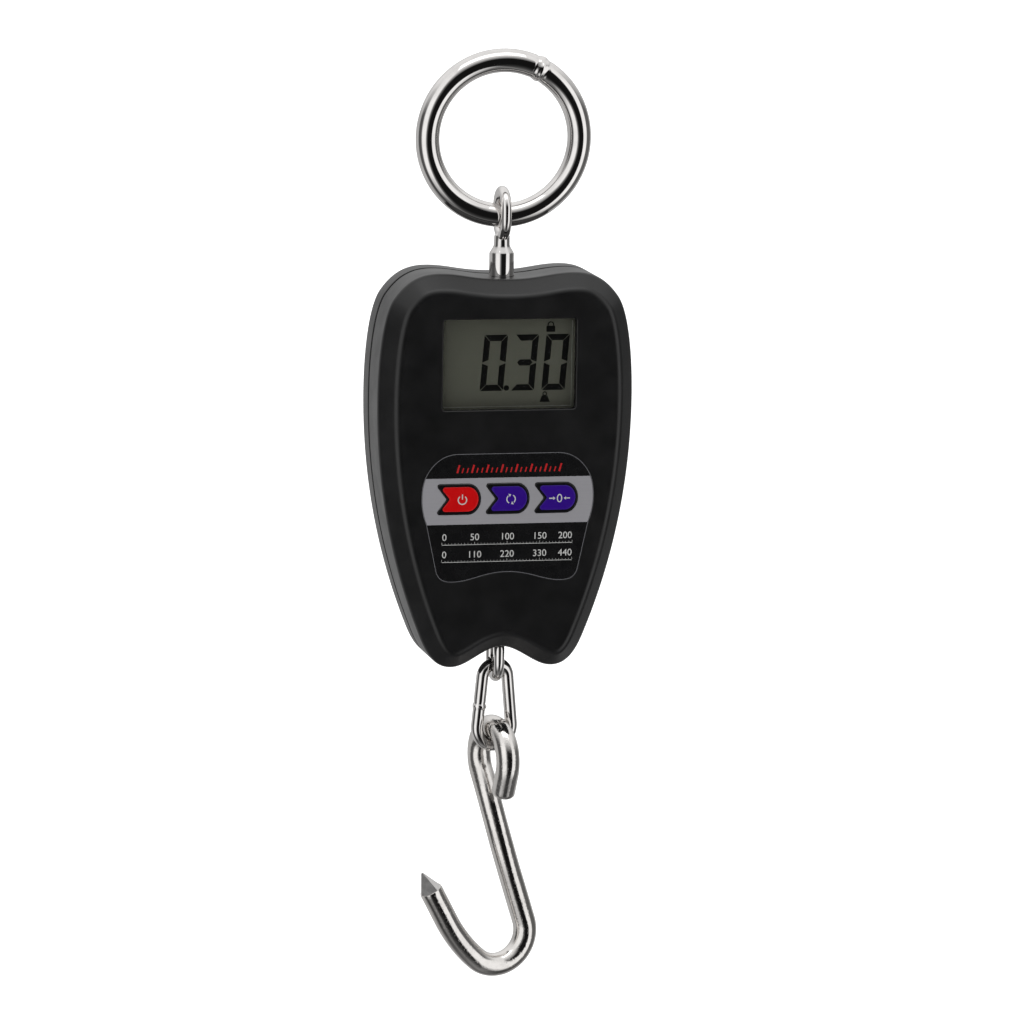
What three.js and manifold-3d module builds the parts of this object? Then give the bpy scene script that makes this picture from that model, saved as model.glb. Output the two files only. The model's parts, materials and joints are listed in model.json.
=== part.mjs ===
// A digital hanging scale: steel ring, eye bolt, two-part housing with display and keys,
// S-beam load cell with its electronics and batteries, lower eye, chain link and hook.
// Millimetres. X to the scale's right seen from the front, -Y to the front, +Z up.
// The origin is the top of the ring's hole, where the scale is hung from.
import * as THREE from "three";
import { mergeVertices } from "three/addons/utils/BufferGeometryUtils.js";
import Module from "manifold-3d";

const wasm = await Module();
wasm.setup();

const GAP = 0.3; // between neighbouring pieces

// ---------------------------------------------------------------- driving dimensions
const RING = { radius: 26, wire: 4, weldAngle: 63 };
RING.z = RING.wire - RING.radius;
const EYE = { wire: 1.8, radius: 6.2, neck: 2.75, flare: 2.4, slack: 2 };
const EYE_STRETCH = { upper: 2.6, lower: 3 };
const SHANK = { collar: 4.2, thread: 2.8, nutFlats: 10, nutHeight: 4 };
const HOUSING = {
  top: -66.3,
  dip: 2.1,
  archHeight: 127.2,
  front: -15.5,
  back: 18.5,
  wall: 2.4,
  frontBevel: { inset: 5.3, depth: 6 },
  backBevel: { inset: 2.5, depth: 2.5 },
  groove: { front: 5.3, back: 6.9, inset: 1.3 },
};
const DISPLAY = { width: 45.4, height: 30.5, drop: 30.1, corner: 0.8 };
const LABEL = { thickness: 0.4, recess: 0.7 };
const KEYS = { pitch: 16.7, drop: 75.4, width: 14.8, height: 10.4, notch: 3, oval: 4.4, proud: 0.5 };
const KEY_TRAVEL = 0.5;
const BOARD = { halfWidth: 29, top: -77, bottom: -159, front: -8.2, back: -6.6 };
const CELL = { halfWidth: 15, halfDepth: 4.5, top: -86, bottom: -170 };
const CELL_MID = (CELL.top + CELL.bottom) / 2;
const BATTERY = { radius: 5.25, length: 44.5, pitch: 11.2, y: 11.35, z: -125 };
const LEAD = { y: 11, rise: 11 }; // where the battery leads leave the bay
const BAY = { halfWidth: 25.8, halfHeight: 17.2, wall: 1.2, floor: 5, floorTop: 6 };
const DOOR = { halfWidth: 28, halfHeight: 19.5, thickness: 1.5 };
const LINK = { wire: 2.1, topHalf: 4.8, bottomHalf: 6.5, top: -201, bottom: -229.5, yaw: 15, weld: 2.45 };
const HOOK = { wire: 4, eye: 10.7, eyeLeave: 217, eyeEnd: -20, eyeTail: 8.2, tipLength: 7 };
const HOOK_SHANK = { top: -46, angle: 18.4 };
const BOWL = { u: 2, w: -65.7, radius: 11.2, end: -130.6 };
const LIMB = { radius: 52, end: -151.3, straight: 13 };
const LOWER_EYE_STRAND = -205.4;
const UPPER_EYE_TOP = RING.z - RING.radius + RING.wire + GAP + EYE.wire + EYE.slack;

const CASE_SCREWS = [[-33, -17], [33, -17], [-20.5, -117], [20.5, -117]];
const BOARD_SCREWS = [[-25.5, -118], [25.5, -118], [-25.5, -155], [25.5, -155]];
const CELL_SCREWS = [-10, 10];
const CELL_SCREW_Z = -98;
const CASE_SCREW = { head: 2.8, seat: 9.6, top: 11.8, shank: 1.45, tip: -6 };
const BOARD_SCREW = { head: 2.1, seat: BOARD.back + GAP, top: BOARD.back + 1.9, shank: 0.9, tip: -11.6 };
const CELL_SCREW = { head: 2.7, seat: -4.8, top: -6.2, shank: 1.4, tip: 12 };
const BOSS = { front: 3.6, back: 4.6, pilot: 1.8, frontEnd: 7, backEnd: 7.3, pilotEnd: -8 };
const WELL = { radius: 3.3, floor: 9.3 };
const PILLAR = { radius: 2.4, pilot: 1.2, pilotEnd: -12 };
const CELL_POST = { radius: 3, pilot: 1.7, pilotEnd: 14 };
const INTO = 0.6; // how far a boss or wall runs into the shell it stands on

// ---------------------------------------------------------------- materials
const finish = (color, roughness, metalness) => () =>
  new THREE.MeshStandardMaterial({ color, roughness, metalness });
const steel = finish(0xc8c8c6, 0.12, 1);
const nickel = finish(0xb9b7ac, 0.3, 1);
const aluminium = finish(0xb4b6b8, 0.4, 1);
const blackPlastic = finish(0x18181a, 0.55, 0);
const whitePlastic = finish(0xd8d6ce, 0.5, 0);
const labelFilm = finish(0x0d0d0f, 0.3, 0);
const redKey = finish(0xc01418, 0.35, 0);
const blueKey = finish(0x2d1488, 0.35, 0);
const clearPlastic = finish(0xd9e2dc, 0.1, 0);
const lcdGlass = finish(0x404238, 0.2, 0);
const boardGreen = finish(0x1d5a34, 0.5, 0);
const epoxy = finish(0x121212, 0.35, 0);
const rubber = finish(0xb06a70, 0.7, 0);
const cellWrap = finish(0x2f6f3c, 0.35, 0.4);
const redWire = finish(0xb01e1e, 0.5, 0);
const blackWire = finish(0x141414, 0.5, 0);
const greyWire = finish(0x77787a, 0.5, 0);

// ---------------------------------------------------------------- solids from geometries
function solid(geometry) {
  const bare = geometry.index ? geometry.toNonIndexed() : geometry.clone();
  bare.deleteAttribute("normal");
  bare.deleteAttribute("uv");
  const merged = mergeVertices(bare, 1e-4);
  const vertProperties = merged.attributes.position.array;
  const triVerts = new Uint32Array(merged.index.array);
  return new wasm.Manifold(new wasm.Mesh({ numProp: 3, vertProperties, triVerts }));
}

function geometryOf(body) {
  const mesh = body.getMesh();
  const geometry = new THREE.BufferGeometry();
  geometry.setAttribute("position", new THREE.BufferAttribute(mesh.vertProperties, 3));
  geometry.setIndex(new THREE.BufferAttribute(mesh.triVerts, 1));
  const flat = geometry.toNonIndexed();
  flat.computeVertexNormals();
  return flat;
}

const ordered = (a, b) => [Math.min(a, b), Math.max(a, b)];
const join = (...bodies) => bodies.reduce((a, b) => a.add(b));
const cut = (body, ...tools) => tools.reduce((a, b) => a.subtract(b), body);

function box(x, y, z) {
  const geometry = new THREE.BoxGeometry(x[1] - x[0], y[1] - y[0], z[1] - z[0]);
  geometry.translate((x[0] + x[1]) / 2, (y[0] + y[1]) / 2, (z[0] + z[1]) / 2);
  return solid(geometry);
}

// A plate of the shape drawn in X and Z, from y0 at the front to y1 at the back.
function plate(shape, y0, y1, curveSegments = 2, bevel = null) {
  const edge = bevel
    ? {
        bevelEnabled: true,
        bevelThickness: bevel.depth,
        bevelSize: bevel.inset,
        bevelOffset: -bevel.inset,
        bevelSegments: 1,
      }
    : { bevelEnabled: false };
  const trim = bevel ? bevel.depth : 0;
  const geometry = new THREE.ExtrudeGeometry(shape, {
    depth: y1 - y0 - 2 * trim,
    curveSegments,
    ...edge,
  });
  geometry.rotateX(Math.PI / 2);
  geometry.translate(0, y1 - trim, 0);
  return solid(geometry);
}

// A cylinder along Y (or Z) between two stations, with an optional second radius at its end.
function rodY(x, z, radius, y0, y1, sides = 16, endRadius = radius) {
  const geometry = new THREE.CylinderGeometry(endRadius, radius, y1 - y0, sides);
  geometry.translate(x, (y0 + y1) / 2, z);
  return solid(geometry);
}

function rodZ(x, y, radius, z0, z1, sides = 16, endRadius = radius) {
  const geometry = new THREE.CylinderGeometry(endRadius, radius, z1 - z0, sides);
  geometry.rotateX(Math.PI / 2);
  geometry.translate(x, y, (z0 + z1) / 2);
  return solid(geometry);
}

function rodX(y, z, radius, x0, x1, sides = 16) {
  const geometry = new THREE.CylinderGeometry(radius, radius, x1 - x0, sides);
  geometry.rotateZ(Math.PI / 2);
  geometry.translate((x0 + x1) / 2, y, z);
  return solid(geometry);
}

function tube(path, radius, steps, sides = 8) {
  const section = new THREE.Shape().absarc(0, 0, radius, 0, 2 * Math.PI);
  return solid(
    new THREE.ExtrudeGeometry(section, { steps, curveSegments: sides / 2, extrudePath: path }),
  );
}

// A circular arc in space: centre, two unit directions, and a start and end angle in degrees.
class Arc extends THREE.Curve {
  constructor(centre, across, up, radius, from, to) {
    super();
    Object.assign(this, { centre, across, up, radius, from, to });
  }
  getPoint(t, target = new THREE.Vector3()) {
    const angle = THREE.MathUtils.degToRad(this.from + t * (this.to - this.from));
    return target
      .copy(this.centre)
      .addScaledVector(this.across, this.radius * Math.cos(angle))
      .addScaledVector(this.up, this.radius * Math.sin(angle));
  }
}

function pathOf(...curves) {
  const path = new THREE.CurvePath();
  curves.forEach((curve) => path.add(curve));
  return path;
}

const at = (x, y, z) => new THREE.Vector3(x, y, z);
const X = at(1, 0, 0);
const Y = at(0, 1, 0);
const Z = at(0, 0, 1);

function roundedRect(halfWidth, halfHeight, corner, cx = 0, cz = 0) {
  const shape = new THREE.Shape();
  const [x, z] = [halfWidth - corner, halfHeight - corner];
  shape.absarc(cx + x, cz + z, corner, 0, Math.PI / 2);
  shape.absarc(cx - x, cz + z, corner, Math.PI / 2, Math.PI);
  shape.absarc(cx - x, cz - z, corner, Math.PI, 1.5 * Math.PI);
  shape.absarc(cx + x, cz - z, corner, 1.5 * Math.PI, 2 * Math.PI);
  return shape;
}

// ---------------------------------------------------------------- outlines
// Half outlines run down the right side from the top centre; z is below the housing's top.
function mirrored(half, samples) {
  const right = half.getPoints(samples);
  const left = right.slice(1, -1).reverse();
  return [...right, ...left.map((p) => new THREE.Vector2(-p.x, p.y))];
}

// The outline moved inwards by inset, along the normal at each of its points.
function insetShape(points, inset) {
  const n = points.length;
  const moved = points.map((p, i) => {
    const along = points[(i + 1) % n].clone().sub(points[(i + n - 1) % n]).normalize();
    return new THREE.Vector2(p.x + along.y * inset, p.y - along.x * inset);
  });
  return new THREE.Shape(moved);
}

const housingHalf = new THREE.Path();
housingHalf.moveTo(0, -HOUSING.dip);
housingHalf.bezierCurveTo(11.4, -2.1, 15.2, 0, 23, 0);
housingHalf.bezierCurveTo(29.5, 0, 34.1, -2.2, 38.5, -8.4);
housingHalf.bezierCurveTo(42.4, -14, 43.8, -29.7, 43.8, -43.1);
housingHalf.bezierCurveTo(43.8, -74, 37.5, -100.7, 28.3, -123.3);
housingHalf.bezierCurveTo(25.4, -130.6, 22.1, -134, 17.3, -134);
housingHalf.bezierCurveTo(11.5, -134, 6, -127.2, 0, -HOUSING.archHeight);
const HOUSING_SAMPLES = 6;

function housingSlab(inset, y0, y1, bevel = null) {
  const shape = insetShape(mirrored(housingHalf, HOUSING_SAMPLES), inset);
  return plate(shape, y0, y1, 1, bevel).translate([0, 0, HOUSING.top]);
}

// The label: flat top, round shoulders, a wide band for the keys, and two lobes below an arch.
const labelHalf = new THREE.Path();
labelHalf.moveTo(0, -60);
labelHalf.lineTo(17.1, -60);
labelHalf.bezierCurveTo(22.5, -60, 26.4, -63.4, 28.6, -68.3);
labelHalf.bezierCurveTo(30.1, -72.5, 30.1, -79, 27.9, -84);
labelHalf.lineTo(24.5, -99.9);
labelHalf.bezierCurveTo(23.6, -103, 21.5, -103.7, 18.5, -103.7);
labelHalf.bezierCurveTo(12.5, -103.7, 8, -100.5, 0, -100.5);

function labelSlab(inset, y0, y1) {
  return plate(insetShape(mirrored(labelHalf, 4), inset), y0, y1, 1).translate([0, 0, HOUSING.top]);
}

// A key: its right end is oval, and its left end has a notch shaped like an arrow's tail.
function keyShape(grow) {
  const [w, h] = [KEYS.width / 2 + grow, KEYS.height / 2 + grow];
  const oval = KEYS.oval + grow;
  const shape = new THREE.Shape();
  shape.moveTo(-w, h);
  shape.lineTo(w - oval, h);
  shape.absellipse(w - oval, 0, oval, h, Math.PI / 2, -Math.PI / 2, true);
  shape.lineTo(-w, -h);
  shape.lineTo(KEYS.notch - w, 0);
  return shape;
}

// ---------------------------------------------------------------- ring, eyes, link, hook
function suspensionRing() {
  const torus = new THREE.TorusGeometry(RING.radius, RING.wire, 10, 36);
  torus.rotateX(Math.PI / 2);
  torus.translate(0, 0, RING.z);
  const angle = THREE.MathUtils.degToRad(RING.weldAngle);
  const bead = new THREE.SphereGeometry(RING.wire + 0.4, 10, 6);
  bead.scale(1, 1, 0.4);
  bead.rotateY(-angle);
  bead.translate(RING.radius * Math.cos(angle), 0, RING.z + RING.radius * Math.sin(angle));
  return join(solid(torus), solid(bead));
}

// An eye in the YZ plane whose loop starts and ends in the neck. up is 1 where the shank points up.
function eyeBolt(strand, stretch, up, neckEnd, collarEnd, threadEnd) {
  const far = strand + up * EYE.radius; // centre of the arc that carries the load
  const near = far + up * stretch; // centre of the arc at the neck
  const loop = pathOf(
    new Arc(at(0, 0, near), Y, Z, EYE.radius, 90 * up, 180 * up),
    new THREE.LineCurve3(at(0, -EYE.radius, near), at(0, -EYE.radius, far)),
    new Arc(at(0, 0, far), Y, Z, EYE.radius, 180 * up, 360 * up),
    new THREE.LineCurve3(at(0, EYE.radius, far), at(0, EYE.radius, near)),
    new Arc(at(0, 0, near), Y, Z, EYE.radius, 0, 86 * up),
  );
  const root = near + up * (EYE.radius - EYE.wire * 0.3);
  const flareStart = neckEnd - up * EYE.flare;
  const [upperFlare, lowerFlare] = up > 0 ? [EYE.neck, SHANK.collar] : [SHANK.collar, EYE.neck];
  const stage = (radius, a, b, end = radius) => rodZ(0, 0, radius, ...ordered(a, b), 20, end);
  return join(
    tube(loop, EYE.wire, 30, 8),
    stage(EYE.neck, root, flareStart + up * 0.1),
    stage(upperFlare, flareStart, neckEnd, lowerFlare),
    stage(SHANK.collar, neckEnd - up * 0.1, collarEnd),
    stage(SHANK.thread, collarEnd - up * 0.1, threadEnd),
  );
}

const COLLAR_TOP = -60.4;
const UPPER_COLLAR_END = CELL.top + SHANK.nutHeight + 2 * GAP;
const LOWER_COLLAR_END = CELL.bottom - SHANK.nutHeight - 2 * GAP;

function liftingEye() {
  return eyeBolt(UPPER_EYE_TOP, EYE_STRETCH.upper, -1, COLLAR_TOP, UPPER_COLLAR_END, CELL.top - 12);
}

function lowerEye() {
  const loopEnd = LOWER_EYE_STRAND + 2 * EYE.radius + EYE_STRETCH.lower;
  const neckEnd = loopEnd + EYE.wire + 3;
  return eyeBolt(LOWER_EYE_STRAND, EYE_STRETCH.lower, 1, neckEnd, LOWER_COLLAR_END, CELL.bottom + 12);
}

function lockNut(z0) {
  const corner = SHANK.nutFlats / Math.sqrt(3);
  const nut = rodZ(0, 0, corner, z0, z0 + SHANK.nutHeight, 6);
  return cut(nut, rodZ(0, 0, SHANK.thread + GAP, z0 - 1, z0 + SHANK.nutHeight + 1, 20));
}

// The link lies in a plane turned about Z. It is narrower at the top, and its ends meet in a weld
// on one leg. lean is the angle of its legs, which touch both bends.
function chainLink() {
  const { wire, topHalf, bottomHalf, top, bottom, yaw, weld } = LINK;
  const q = X.clone().applyAxisAngle(Z, THREE.MathUtils.degToRad(yaw));
  const [high, low] = [top - topHalf, bottom + bottomHalf];
  const lean = THREE.MathUtils.radToDeg(Math.asin((bottomHalf - topHalf) / (high - low)));
  const topBend = new Arc(at(0, 0, high), q, Z, topHalf, 180 - lean, lean);
  const bottomBend = new Arc(at(0, 0, low), q, Z, bottomHalf, lean, -180 - lean);
  const [legLow, legHigh] = [bottomBend.getPoint(1), topBend.getPoint(0)];
  const middle = legLow.clone().lerp(legHigh, 0.4);
  const along = legHigh.clone().sub(legLow).normalize();
  const beside = (distance) => middle.clone().addScaledVector(along, distance);
  const path = pathOf(
    new THREE.LineCurve3(beside(0.2), legHigh),
    topBend,
    new THREE.LineCurve3(topBend.getPoint(1), bottomBend.getPoint(0)),
    bottomBend,
    new THREE.LineCurve3(legLow, beside(-0.2)),
  );
  const bead = new THREE.CylinderGeometry(weld, weld, 1.6, 12);
  bead.applyQuaternion(new THREE.Quaternion().setFromUnitVectors(Y, along));
  bead.translate(middle.x, middle.y, middle.z);
  return join(tube(path, wire, 34, 8), solid(bead));
}

// The hook, in its own plane (u across, w up from the pivot), before it is turned about Z.
function hook() {
  const point = (u, front, w) => at(u, -front, w);
  const eyeCentre = HOOK.wire + LINK.wire + GAP - HOOK.eye;
  const front = Y.clone().negate();
  const leave = THREE.MathUtils.degToRad(HOOK.eyeLeave);
  const exit = point(0, HOOK.eye * Math.cos(leave), eyeCentre + HOOK.eye * Math.sin(leave));
  const down = point(0, -Math.sin(leave), Math.cos(leave));
  const heading = (degrees) => {
    const angle = THREE.MathUtils.degToRad(degrees);
    return point(Math.sin(angle), 0, -Math.cos(angle));
  };
  const bowl = new Arc(point(BOWL.u, 0, BOWL.w), X, Z, BOWL.radius, HOOK_SHANK.angle, BOWL.end);
  const shankEnd = bowl.getPoint(0);
  const shankDown = heading(HOOK_SHANK.angle);
  const shankLength = (HOOK_SHANK.top - shankEnd.z) / shankDown.z;
  const shankStart = shankEnd.clone().addScaledVector(shankDown, shankLength);
  const neck = new THREE.CubicBezierCurve3(
    exit,
    exit.clone().addScaledVector(down, 9),
    shankStart.clone().addScaledVector(shankDown, -15),
    shankStart,
  );
  const bowlEnd = THREE.MathUtils.degToRad(BOWL.end);
  const outward = point(Math.cos(bowlEnd), 0, Math.sin(bowlEnd));
  const limbCentre = bowl.getPoint(1).addScaledVector(outward, -LIMB.radius);
  const limb = new Arc(limbCentre, X, Z, LIMB.radius, BOWL.end, LIMB.end);
  const limbUp = heading(LIMB.end);
  const limbEnd = limb.getPoint(1).addScaledVector(limbUp, LIMB.straight);
  const eye = new Arc(point(0, 0, eyeCentre), front, Z, HOOK.eye, HOOK.eyeEnd, HOOK.eyeLeave);
  const tail = THREE.MathUtils.degToRad(HOOK.eyeEnd);
  const eyeStart = eye.getPoint(0);
  const tailEnd = eyeStart.clone().addScaledVector(point(0, Math.sin(tail), -Math.cos(tail)), HOOK.eyeTail);
  const path = pathOf(
    new THREE.LineCurve3(tailEnd, eyeStart),
    eye,
    neck,
    new THREE.LineCurve3(shankStart, shankEnd),
    bowl,
    limb,
    new THREE.LineCurve3(limb.getPoint(1), limbEnd),
  );
  const tip = new THREE.CylinderGeometry(0.3, HOOK.wire, HOOK.tipLength + 0.2, 10);
  tip.translate(0, HOOK.tipLength / 2 - 0.1, 0);
  tip.applyQuaternion(new THREE.Quaternion().setFromUnitVectors(Y, limbUp));
  tip.translate(limbEnd.x, limbEnd.y, limbEnd.z);
  const body = join(tube(path, HOOK.wire, 48, 10), solid(tip));
  return body.rotate([0, 0, LINK.yaw]).translate([0, 0, LINK.bottom]);
}

// ---------------------------------------------------------------- housing
const DISPLAY_Z = HOUSING.top - DISPLAY.drop;
const KEY_Z = HOUSING.top - KEYS.drop;
const KEY_X = [-KEYS.pitch, 0, KEYS.pitch];
const INNER_FRONT = HOUSING.front + HOUSING.wall;
const INNER_BACK = HOUSING.back - HOUSING.wall;
const KEY_POCKET = HOUSING.front + 1.3;
const SPLIT = (HOUSING.groove.front + HOUSING.groove.back) / 2;
const FAR = 60;

function cavity(y0, y1, bevel) {
  return housingSlab(HOUSING.wall, y0, y1, bevel);
}

const SHANK_HOLE = rodZ(0, 0, SHANK.collar + 0.5, -75, -60, 20);

// The slot in the housing's bottom that the lower eye passes through.
function eyeSlot() {
  const reach = EYE.radius + EYE.wire + 0.8;
  return box([-3, 3], [-reach, reach], [HOUSING.top - HOUSING.archHeight - 8, -188.5]);
}

function frontCover() {
  const { groove, frontBevel } = HOUSING;
  const shell = housingSlab(0, HOUSING.front, FAR, frontBevel)
    .intersect(box([-FAR, FAR], [-FAR, groove.front], [-250, 0]));
  const lip = housingSlab(groove.inset, groove.front - 1, SPLIT - GAP / 2);
  const hollow = cavity(INNER_FRONT, FAR, frontBevel);
  const floor = INNER_FRONT - INTO;
  const bosses = CASE_SCREWS.map(([x, z]) =>
    rodY(x, HOUSING.top + z, BOSS.front, floor, BOSS.frontEnd, 12));
  const bossHoles = CASE_SCREWS.map(([x, z]) =>
    rodY(x, HOUSING.top + z, BOSS.pilot, BOSS.pilotEnd, BOSS.frontEnd + 1, 8));
  const pillars = BOARD_SCREWS.map(([x, z]) =>
    rodY(x, z, PILLAR.radius, floor, BOARD.front - GAP, 10));
  const pillarHoles = BOARD_SCREWS.map(([x, z]) =>
    rodY(x, z, PILLAR.pilot, PILLAR.pilotEnd, BOARD.front, 8));
  const opening = roundedRect(DISPLAY.width / 2, DISPLAY.height / 2, DISPLAY.corner, 0, DISPLAY_Z);
  const pockets = KEY_X.flatMap((x) => [
    plate(keyShape(GAP), HOUSING.front - 1, KEY_POCKET, 4).translate([x, 0, KEY_Z]),
    rodY(x, KEY_Z, 2.8, KEY_POCKET - 1, INNER_FRONT + 1, 12),
  ]);
  return cut(
    join(cut(join(shell, lip), hollow), ...bosses, ...pillars),
    ...bossHoles,
    ...pillarHoles,
    ...pockets,
    plate(opening, HOUSING.front - 1, INNER_FRONT + 1, 1),
    labelSlab(-GAP, HOUSING.front - 1, HOUSING.front + LABEL.recess),
    SHANK_HOLE,
    eyeSlot(),
  );
}

function rearCover() {
  const { groove, backBevel } = HOUSING;
  const shell = housingSlab(0, -FAR, HOUSING.back, backBevel)
    .intersect(box([-FAR, FAR], [groove.back, FAR], [-250, 0]));
  const lip = housingSlab(groove.inset, SPLIT + GAP / 2, groove.back + 1);
  const hollow = cavity(-FAR, INNER_BACK, backBevel);
  const floor = INNER_BACK + INTO;
  const bosses = CASE_SCREWS.map(([x, z]) =>
    rodY(x, HOUSING.top + z, BOSS.back, BOSS.backEnd, floor, 12));
  const cellPosts = CELL_SCREWS.map((x) =>
    rodY(x, CELL_SCREW_Z, CELL_POST.radius, CELL.halfDepth + GAP, floor, 10));
  const wells = CASE_SCREWS.flatMap(([x, z]) => [
    rodY(x, HOUSING.top + z, WELL.radius, WELL.floor, HOUSING.back + 1, 12),
    rodY(x, HOUSING.top + z, BOSS.pilot, BOSS.backEnd - 1, WELL.floor + 1, 8),
  ]);
  const cellHoles = CELL_SCREWS.map((x) =>
    rodY(x, CELL_SCREW_Z, CELL_POST.pilot, CELL.halfDepth, CELL_POST.pilotEnd, 8));
  const [w, h] = [BAY.halfWidth, BAY.halfHeight];
  const tub = roundedRect(w + BAY.wall, h + BAY.wall, 1.5, 0, BATTERY.z);
  const bay = roundedRect(w, h, 1, 0, BATTERY.z);
  const seat = roundedRect(DOOR.halfWidth + GAP, DOOR.halfHeight + GAP, 1, 0, BATTERY.z);
  const leadSlots = [1, -1].map((side) => {
    const z = BATTERY.z + LEAD.rise;
    return box([side * w - 2, side * w + 2], [LEAD.y - 1.5, LEAD.y + 1.5], [z - 1.5, z + 1.5]);
  });
  return cut(
    join(cut(join(shell, lip), hollow), ...bosses, ...cellPosts, plate(tub, BAY.floor, floor, 1)),
    ...wells,
    ...cellHoles,
    ...leadSlots,
    plate(bay, BAY.floorTop, FAR, 1),
    plate(seat, HOUSING.back - DOOR.thickness - GAP, FAR, 1),
    eyeSlot(),
  );
}

// The door turns about its rounded lower edge.
const DOOR_AXIS_Y = HOUSING.back - DOOR.thickness / 2;
const DOOR_AXIS_Z = BATTERY.z - DOOR.halfHeight + DOOR.thickness / 2;

function batteryDoor() {
  const inner = HOUSING.back - DOOR.thickness;
  const panel = box(
    [-DOOR.halfWidth, DOOR.halfWidth],
    [inner, HOUSING.back],
    [DOOR_AXIS_Z, BATTERY.z + DOOR.halfHeight],
  );
  const edge = rodX(DOOR_AXIS_Y, DOOR_AXIS_Z, DOOR.thickness / 2, -DOOR.halfWidth, DOOR.halfWidth, 12);
  const grip = roundedRect(6, 1.6, 1.4, 0, BATTERY.z + DOOR.halfHeight - 4);
  return cut(join(panel, edge), plate(grip, HOUSING.back - 0.6, FAR, 2));
}

// A cross-head screw along Y. Its head lies between seat and top, and its shank ends at tip.
function screw(x, z, { head, seat, top, shank, tip }) {
  const outward = Math.sign(top - seat);
  const body = join(
    rodY(x, z, head, ...ordered(seat, top), 12),
    rodY(x, z, shank, ...ordered(seat + outward * 0.2, tip), 8),
  );
  const slotY = ordered(top - outward * 0.8, top + outward);
  const [arm, half] = [head * 0.6, 0.35];
  return cut(
    body,
    box([x - arm, x + arm], slotY, [z - half, z + half]),
    box([x - half, x + half], slotY, [z - arm, z + arm]),
  );
}

// ---------------------------------------------------------------- display, label, keys, board
const LCD = { front: -11.9, back: -9.9, halfWidth: 24, halfHeight: 16.5 };
const PANE = { front: -14.7, back: -12.5, flangeBack: -12.2, flangeHalfWidth: 25, flangeHalfHeight: 17.5 };
const HOLDER = { halfWidth: 26.4, halfHeight: 18.9 };

function displayWindow() {
  const pane = roundedRect(DISPLAY.width / 2 - GAP, DISPLAY.height / 2 - GAP, 0.6, 0, DISPLAY_Z);
  const flange = roundedRect(PANE.flangeHalfWidth, PANE.flangeHalfHeight, 1, 0, DISPLAY_Z);
  return join(
    plate(pane, PANE.front, PANE.back, 1),
    plate(flange, INNER_FRONT + GAP, PANE.flangeBack, 1),
  );
}

function lcdPanel() {
  const { front, back, halfWidth, halfHeight } = LCD;
  return plate(roundedRect(halfWidth, halfHeight, 0.5, 0, DISPLAY_Z), front, back, 1);
}

function lcdHolder() {
  const outer = roundedRect(HOLDER.halfWidth, HOLDER.halfHeight, 1, 0, DISPLAY_Z);
  const inner = roundedRect(LCD.halfWidth + GAP, LCD.halfHeight + GAP, 0.5, 0, DISPLAY_Z);
  return cut(
    plate(outer, LCD.front, BOARD.front - GAP, 1),
    plate(inner, LCD.front - 1, BOARD.front + 1, 1),
  );
}

function zebraStrip(side) {
  const z = DISPLAY_Z + side * (LCD.halfHeight - 1.6);
  return box([-22, 22], [LCD.back + GAP, BOARD.front - GAP], [z - 1.1, z + 1.1]);
}

function keyLabel() {
  const holes = KEY_X.map((x) =>
    plate(keyShape(GAP), HOUSING.front - 1, HOUSING.front + 1, 4).translate([x, 0, KEY_Z]));
  return cut(labelSlab(0, HOUSING.front, HOUSING.front + LABEL.thickness), ...holes);
}

const CAP_BACK = KEY_POCKET - KEY_TRAVEL - 0.2;
const SWITCH = { front: -11.5, back: -8.5, half: 3, well: 1.2, bore: 2 };
const PLUNGER = { head: 2.5, pin: 1.6, step: -12.1 };

function keyCap(x) {
  return plate(keyShape(0), HOUSING.front - KEYS.proud, CAP_BACK, 4).translate([x, 0, KEY_Z]);
}

function keyPlunger(x) {
  return join(
    rodY(x, KEY_Z, PLUNGER.head, CAP_BACK + GAP, PLUNGER.step, 16),
    rodY(x, KEY_Z, PLUNGER.pin, PLUNGER.step - 0.1, SWITCH.front + SWITCH.well - KEY_TRAVEL - 0.2, 12),
  );
}

function keySwitch(x) {
  const { front, back, half, well, bore } = SWITCH;
  return cut(
    box([x - half, x + half], [front, back], [KEY_Z - half, KEY_Z + half]),
    rodY(x, KEY_Z, bore, front - 1, front + well, 12),
  );
}

function mainBoard() {
  const middle = (BOARD.top + BOARD.bottom) / 2;
  const outline = roundedRect(BOARD.halfWidth, (BOARD.top - BOARD.bottom) / 2, 2, 0, middle);
  const holes = BOARD_SCREWS.map(([x, z]) => rodY(x, z, 1.4, BOARD.front - 1, BOARD.back + 1, 8));
  return cut(plate(outline, BOARD.front, BOARD.back, 1), ...holes);
}

const COMPONENT_Y = BOARD.front - GAP;

// The blob of resin over the processor: a shallow dome.
function processorBlob() {
  const points = [
    new THREE.Vector2(0, 1.7),
    new THREE.Vector2(3, 1.5),
    new THREE.Vector2(5, 0.8),
    new THREE.Vector2(5.8, 0),
    new THREE.Vector2(0, 0),
  ].reverse();
  const dome = new THREE.LatheGeometry(points, 16);
  dome.rotateX(Math.PI);
  dome.translate(4, COMPONENT_Y, -124);
  return solid(dome);
}

// ---------------------------------------------------------------- load cell
const BEAM = { slot: 3, web: 14.5, reach: 9, hole: 4.5, holeX: 5.5, gap: 2 };

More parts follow.
